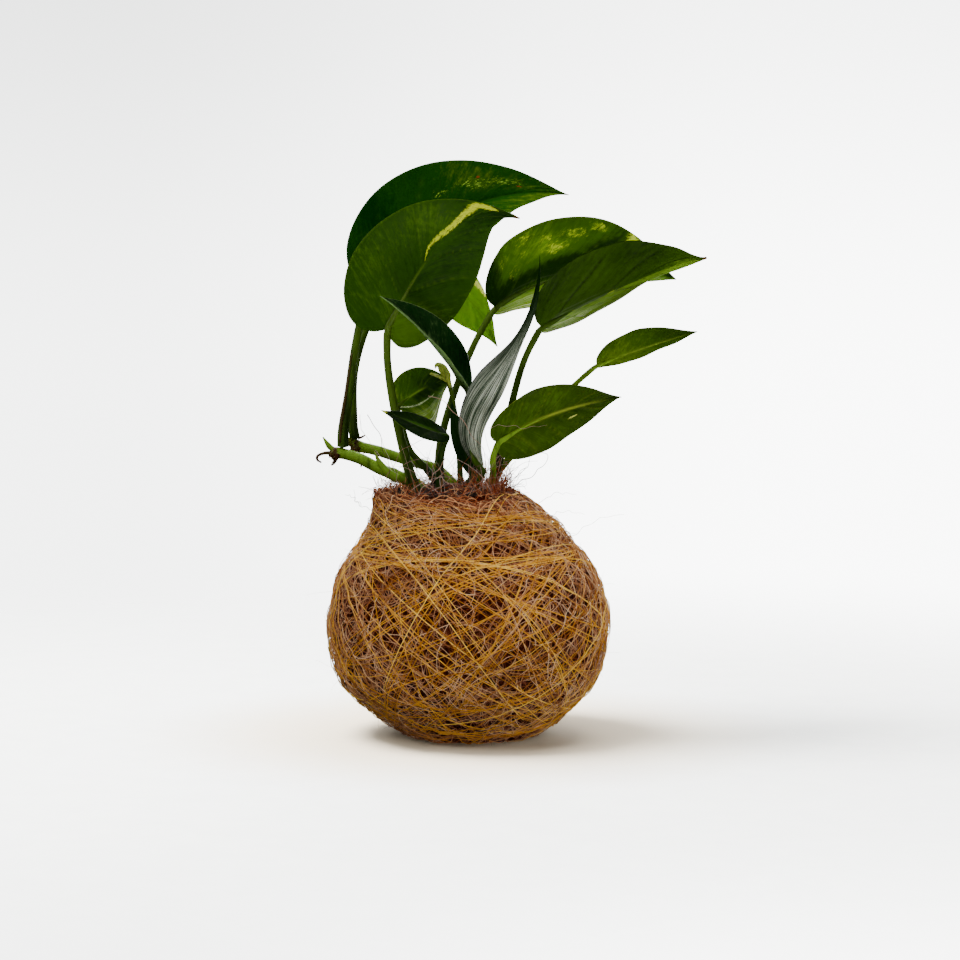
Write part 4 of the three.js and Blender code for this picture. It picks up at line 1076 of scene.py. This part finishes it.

# grid is the number of rows and columns, rib_reach how far the midrib stands out below, and
# rib_fade where its line goes out. A row of tones, patches, sheens or rusts is a blot: its share
# along, its place across, its size both ways and its strength. tones hold the leaf's own tones and
# also painted light and shade, and sheens are painted sheen, whitish reflected light. halves are
# the tones of both sides, painted light and shade among them, and stroke is a streak of the
# yellow: share along, place across, half width.
PLAIN_LOOK = dict(
    veins=9, vein_slope=0.3, vein_wide=0.34, rib_fade=(0.4, 0.95), rib_wide=0.45, rib_size=0.42,
    wave=0.3, relief=1, halves=(0, 0), stroke=(), patches=(), tones=(), sheens=(), rusts=())
LOOKS = {
    "leaf_top_back": dict(
        slot="leaf_dark", stem=STEM, relief=0.8, grid=(130, 64), rib_reach=0.3,
        blade=leaf_look("leaf_skin_dark", "042604", "0d3804", "4c6410", "2b520c", "86a83c",
                        see=0.12, gloss=0, veins=0.4, rib=0.35),
        patches=((0.6, -0.5, 0.16, 0.26, 0.58), (0.74, -0.55, 0.13, 0.24, 0.62),
                 (0.44, -0.46, 0.08, 0.12, 0.58)),
        rusts=((0.62, -0.64, 0.016, 0.05, 0.9), (0.78, -0.4, 0.02, 0.05, 0.9),
               (0.99, 0, 0.02, 2, 0.7)), halves=(0.05, 0.15),
        tones=((0.1, -0.6, 0.35, 1.4, -0.7), (0.6, -0.6, 0.3, 0.4, 0.35),
               (0.8, 0.6, 0.25, 0.6, 0.3), (0.62, -0.05, 0.3, 0.16, -0.5))),
    "leaf_left_front": dict(
        slot="leaf_green", stem=STEM_PALE, grid=(150, 76), rib_reach=0.42, rib_size=0.55,
        rib_fade=(0.3, 0.5),
        blade=leaf_look("leaf_skin_left", "0c2a03", "254606", "4c7010", "5c7a20", "ccd42c",
                        see=0.35, gloss=0.06, veins=0.32, rib=0.7, rim=0.25),
        stroke=((0.43, 0.04, 0.4), (0.5, 0.12, 0.8), (0.58, 0.13, 1.5), (0.65, 0.14, 1.6),
                (0.73, 0.3, 2), (0.78, 0.5, 2.6), (0.83, 0.78, 2.6), (0.87, 0.74, 2),
                (0.9, 0.6, 0.9)), rusts=((0.985, 0, 0.03, 2, 0.75),),
        # tones: the leaf's own tones, and the bright blot by the stalk is painted light on that
        # lobe
        tones=((0.45, 0.55, 0.5, 0.5, 0.12), (0.55, -0.35, 0.35, 0.5, -0.75),
               (0.02, -0.6, 0.22, 0.7, 1), (0, 0.5, 0.12, 0.5, -0.3), (0.92, 0, 0.08, 2, -0.5))),
    "leaf_right_back": dict(
        slot="leaf_green", stem=STEM_PALE, grid=(140, 70), rib_reach=0.5, rib_size=0.75,
        rib_fade=(0.3, 0.6),
        blade=leaf_look("leaf_skin_back", "0d2a04", "4e740c", "86a81e", "88a038", "d4de4c",
                        "dfe4cc", see=0.5, gloss=0.08, veins=0.2, rib=0.5),
        patches=((0.17, 0.85, 0.07, 0.25, 0.62), (0.17, 0.62, 0.07, 0.18, 0.58),
                 (0.33, 0.55, 0.11, 0.16, 0.8), (0.42, 0.74, 0.11, 0.16, 0.7),
                 (0.53, 0.88, 0.09, 0.12, 0.72), (0.71, 0.88, 0.045, 0.18, 0.95),
                 (0.06, 0.72, 0.06, 0.2, 0.55), (0.12, 0.4, 0.08, 0.2, 0.55),
                 (0.27, 0.7, 0.08, 0.15, 0.66)),
        tones=((-0.05, 0.7, 0.1, 0.9, -1.6), (0.1, 0.15, 0.35, 0.2, -1.2),
               (0.42, 0.24, 0.16, 0.16, -1.3), (0.62, 0.5, 0.14, 0.22, -1.3),
               (0.35, 0.6, 0.16, 0.25, 0.45), (0.68, 0.92, 0.25, 0.25, -0.6),
               (0.9, 0.5, 0.15, 1, -0.9), (0.3, -0.6, 0.6, 0.5, 0.6)), halves=(0.5, 0.15),
        # sheens: painted sheen, whitish reflected light on the lower strip
        sheens=((0.3, -0.8, 0.5, 0.5, 1),)),
    "leaf_right_front": dict(
        slot="leaf_olive", stem=STEM, grid=(140, 70), relief=1.1, rib_reach=0.25, rib_size=0.6,
        # halves: painted light on the lower half and painted shade on the upper half; the sheens
        # are painted sheen near the base and edge
        rib_fade=(0.1, 0.35), vein_slope=0.42, vein_wide=0.6, halves=(0.75, -0.35),
        stroke=((0.03, -0.01, 0.3), (0.4, -0.01, 0.34), (0.92, -0.01, 0.2)),
        blade=leaf_look("leaf_skin_olive", "182c05", "2e480a", "6c8e20", "061002", "ccd840",
                        "ccd6b0", see=0.3, gloss=0.06, veins=0.95, rib=0.5, streaks=0.4),
        rusts=((0.65, 0.71, 0.03, 0.06, 0.35), (0.985, 0, 0.025, 2, 0.8)),
        tones=((0.35, 0.8, 0.4, 0.25, -0.3), (0.4, -0.7, 0.7, 0.4, 0.3),
               (0.85, 0.1, 0.16, 1.2, 0.9)),
        sheens=((0.14, -0.6, 0.3, 0.42, 0.8), (0.5, -0.95, 0.3, 0.15, 0.6))),
    "leaf_right_small": dict(
        slot="leaf_bright", stem=STEM_BRIGHT, relief=0.8, grid=(90, 44), rib_reach=0.5,
        rib_size=0.4, rib_fade=(0.5, 1),
        blade=leaf_look("leaf_skin_small", "243c05", "35520a", "5c7816", "8fa63a", "c9d77a",
                        see=0.4, gloss=0.03, veins=0.15, rib=0.6, rim=0.3),
        tones=((0.15, 0.1, 0.35, 1.2, 0.6), (0.95, 0.2, 0.3, 1.5, -1),
               (0.7, 0.5, 0.3, 0.5, -0.3))),
    "leaf_low_right": dict(
        slot="leaf_green", stem=STEM_BRIGHT, relief=0.9, grid=(110, 54), rib_reach=0.6,
        rib_size=0.5, rib_fade=(0.5, 0.95), rib_wide=0.5,
        blade=leaf_look("leaf_skin_low", "1c3003", "30480a", "4e6e12", "aab83c", "dce070", see=0.3,
                        gloss=0.12, veins=0.15, rib=0.8, rim=0.2),
        patches=((0.62, -0.38, 0.05, 0.035, 1.25), (0.3, -0.9, 0.14, 0.14, 0.45),
                 (0.45, -0.7, 0.1, 0.1, 0.25)),
        tones=((0.35, 0.6, 0.3, 0.6, 0.35), (0.5, -0.2, 0.3, 0.25, -0.7),
               (0.2, -0.6, 0.3, 0.5, 0.35), (0.9, 0, 0.15, 1, -0.5))),
    "leaf_hanging": dict(
        slot="leaf_bright", stem=STEM, grid=(100, 52), rib_reach=0.3, rib_fade=(0.3, 0.9),
        blade=leaf_look("leaf_skin_hanging", "548210", "84aa2a", "aaca4c", "55781a", "f6f0c0",
                        see=0.5, gloss=0.12, veins=0.3, rib=0.4, rim=0.2),
        stroke=((0.36, -0.62, 0.5), (0.45, -0.74, 1.5), (0.54, -0.86, 1.6), (0.62, -0.95, 0.7)),
        tones=((0.9, 0, 0.2, 2, -0.5),)),
    "leaf_folded_upper": dict(
        slot="leaf_dark", stem=STEM_DARK, wave=0.2, relief=0.8, grid=(110, 54), rib_reach=0.3,
        rib_size=0.7,
        blade=leaf_look("leaf_skin_folded", "021005", "0e2c0c", "5c7a44", "6f8a50", "a9bd88",
                        rough=0.34, see=0.1, gloss=0.02, veins=0.06, rib=0.3, rim=0.8),
        patches=((0.66, 0.12, 0.12, 0.1, 0.35),), halves=(0.2, 0),
        tones=((0.55, -0.9, 0.7, 0.5, 0.9), (0.5, 0.06, 0.5, 0.08, 0.7),
               (0.3, 0.6, 0.3, 0.4, -0.3))),
    "leaf_rolled_silver": dict(
        slot="leaf_silver", stem=STEM, wave=0.2, relief=0.5, grid=(120, 60), veins=7,
        rib_reach=0.12, rib_fade=(0, 0.2),
        blade=leaf_look("leaf_skin_silver", "0a2004", "122808", "3c5030", "aab59a", "dfe6d4",
                        "e6ecd8", rough=0.5, see=0.15, gloss=0, veins=0, rib=0, rim=0.2,
                        lines=0.95), tones=((0.3, 0.9, 0.6, 0.5, -1), (0.95, 0, 0.3, 2, -1.1)),
        # sheens: painted sheen, whitish reflected light over the rolled blade
        sheens=((0.12, -0.5, 0.3, 0.65, 1), (0.42, -0.4, 0.2, 0.8, 0.95),
                (0.25, 0.6, 0.28, 0.5, 0.5))),
    "leaf_left_inner": dict(
        slot="leaf_olive", stem=STEM, grid=(100, 60), relief=0.7, rib_reach=0.4, rib_size=0.4,
        rib_wide=0.4, rib_fade=(0.42, 0.62), vein_slope=0.42,
        blade=leaf_look("leaf_skin_inner", "12280a", "32540e", "84a03a", "7a9c34", "ccd6b4",
                        "e2e8cc", see=0.3, gloss=0.05, veins=0.2, rib=0.85),
        stroke=((0.02, -0.16, 0.4), (0.25, -0.28, 0.6), (0.5, -0.33, 0.6), (0.66, -0.36, 0.3)),
        tones=((0.75, 0.1, 0.3, 0.9, -1.2), (0.1, 0.5, 0.25, 0.8, 0.4),
               (0.45, -0.15, 0.2, 0.12, -0.9), (0.35, -0.75, 0.8, 0.4, 1.1)),
        # sheens: painted sheen, whitish reflected light on the lower half
        sheens=((0.5, -0.85, 0.5, 0.22, 0.9),)),
    "leaf_folded_low": dict(
        slot="leaf_dark", stem=STEM_DARK, wave=0.15, relief=0.5, grid=(90, 44), rib_reach=0.3,
        blade=leaf_look("leaf_skin_low_dark", "041203", "0b2004", "2e5210", "5f8030", "c8d43c",
                        see=0.2, gloss=0.05, veins=0.1, rib=0.3, rim=0.5, streaks=0.25),
        patches=((0.99, 0, 0.07, 2, 1.7),), halves=(-0.3, 0), tones=((0.45, 0.1, 0.3, 0.12, 1),)),
    "leaf_sheath": dict(
        slot="leaf_dark", stem=STEM_DARK, wave=0.1, relief=0.4, grid=(70, 34), rib_reach=0.4,
        blade=leaf_look("leaf_skin_sheath", "06180a", "0f260a", "2c4420", "3c5a28", "8fb06c",
                        see=0.12, gloss=0, veins=0.1, rib=0.3, rim=0.5),
        tones=((0.5, 0.8, 0.5, 0.4, 0.7),)),
    "leaf_unfurling": dict(
        slot="leaf_bright", stem=STEM_PALE, wave=0.1, relief=0.3, grid=(40, 24), rib_reach=0.5,
        blade=leaf_look("leaf_skin_young", "5a6c1c", "8a9a3a", "c0c878", "7f9440", "c9d790",
                        see=0.3, gloss=0.2, veins=0.2, rib=0.4)),
}

# ------------------------------------------------------------------ stage, light, camera


def build_stage():
    """Round pale floor that fades out, so only the ground near the ball is seen, with painted warm
    shade round the ball, and the pale background, brighter at the right and low down."""
    look = Look("floor_paper")
    far = look.node("VectorMath", {0: look.place()}, "Value", operation="LENGTH")
    grain = look.noise(look.place(), 60.0, 3.0, 0.6)
    color = look.mix(look.step(grain, 0.3, 0.7), rgb("eceeeb"), rgb("e8eae7"))
    # painted shade and warm bounce light: the floor turns beige within about 0.15 m of the middle
    color = look.mix(look.step(far, 0.15, 0.05, 0.0, 0.85), color, rgb("cfbd9f"))
    paper = look.node("BsdfPrincipled", {"Base Color": color, "Roughness": 0.9,
                                         "Specular IOR Level": 0.1})
    clear = look.node("BsdfTransparent", {"Color": (1, 1, 1, 1)})
    look.surface(look.node("MixShader", {0: look.step(far, 0.16, 0.62), 1: paper, 2: clear}))
    columns, rows, depth = 96, 24, -0.02
    a = np.arange(columns) * TAU / columns
    rings = [ring(0, r, depth, a) for r in 700 * np.linspace(0, 1, rows + 1)[1:] ** 1.4]
    start, i = np.arange(rows) * columns, np.arange(columns)
    mesher = Mesher()
    mesher.add(np.concatenate([*rings, [(0, 0, depth)]]), bands(start[:-1], start[1:], columns),
               np.stack([np.full(columns, rows * columns), i, (i + 1) % columns], -1))
    floor = link("floor", mesher.mesh("floor", look.made, False))

    look = Look("studio", "World")
    way = look.node("TexCoord", {}, "Generated")
    x, z = (look.node("SeparateXYZ", {0: way}, axis) for axis in "XZ")
    strength = look.times(look.step(x, -0.12, 0.1, 5.4, 9.4), look.step(z, 0.08, -0.06, 0.6, 1.0))
    world = look.surface(look.node("Background", {"Color": (0.985, 1.0, 0.99, 1),
                                                  "Strength": strength}))
    bpy.context.scene.world = world
    world.cycles_visibility.diffuse = False
    world.cycles_visibility.glossy = False
    world.cycles_visibility.transmission = False
    floor.visible_shadow = False
    floor.visible_diffuse = False
    floor.visible_glossy = False
    return floor


def lamp(name, at, size, power, color=(1, 1, 1), aim=(0, 0, 0.1), only=None):
    """Large soft disc of light turned to a point. With only, it lights just those objects."""
    data = bpy.data.lights.new(name, "AREA")
    data.shape = "DISK"
    data.size = size
    data.energy = power
    data.color = color
    made = link(name, data)
    made.location = at
    made.rotation_euler = (Vector(aim) - Vector(at)).to_track_quat("-Z", "Y").to_euler()
    made.visible_camera = False
    if only:
        group = bpy.data.collections.new(name + "_lit")
        for lit in only:
            group.objects.link(lit)
        made.light_linking.receiver_collection = group


def build_lights(floor, leafy, fibrous):
    lamp("key", (-0.75, -0.65, 1.25), 0.8, 17, (1.0, 0.985, 0.96))
    lamp("top", (0.1, 0.25, 1.5), 1.2, 30)
    lamp("behind", (0.15, 1.3, 0.65), 1.3, 30)
    lamp("right", (1.25, -0.1, 0.55), 0.9, 9)
    lamp("left", (-1.3, 0.2, 0.4), 0.9, 6)
    lamp("front", (0.1, -1.7, 0.5), 1.1, 10)
    lamp("bounce", (0.05, -0.2, -0.5), 1.0, 12, only=leafy)
    lamp("low_front", (0.55, -1.3, 0.0), 0.9, 14, (1.0, 0.985, 0.97), (0, 0, 0.04), fibrous)
    lamp("floor_light", (-0.45, 0.05, 1.1), 0.6, 76, only=[floor], aim=(0, 0, 0))


def build_camera():
    data = bpy.data.cameras.new("camera")
    data.sensor_width = 36
    data.lens = 121.2
    camera = link("camera", data)
    camera.location = (0.00483, -1.2951, 0.2162)
    camera.rotation_euler = (math.radians(85), 0, 0)
    bpy.context.scene.camera = camera


build_camera()
ground = build_stage()
build_soil()
build_mat()
build_curls()
build_wraps()
build_hairs()
build_neck()
for number, leaf in enumerate(LEAVES):
    build_leaf(leaf, 3 + 7 * number)
build_vines()
build_young_sheath()
build_lights(ground, *([piece for piece in bpy.data.objects if piece.name.startswith(kind)]
                       for kind in (("leaf_",), ("coir_", "thread_", "loose_", "neck_"))))
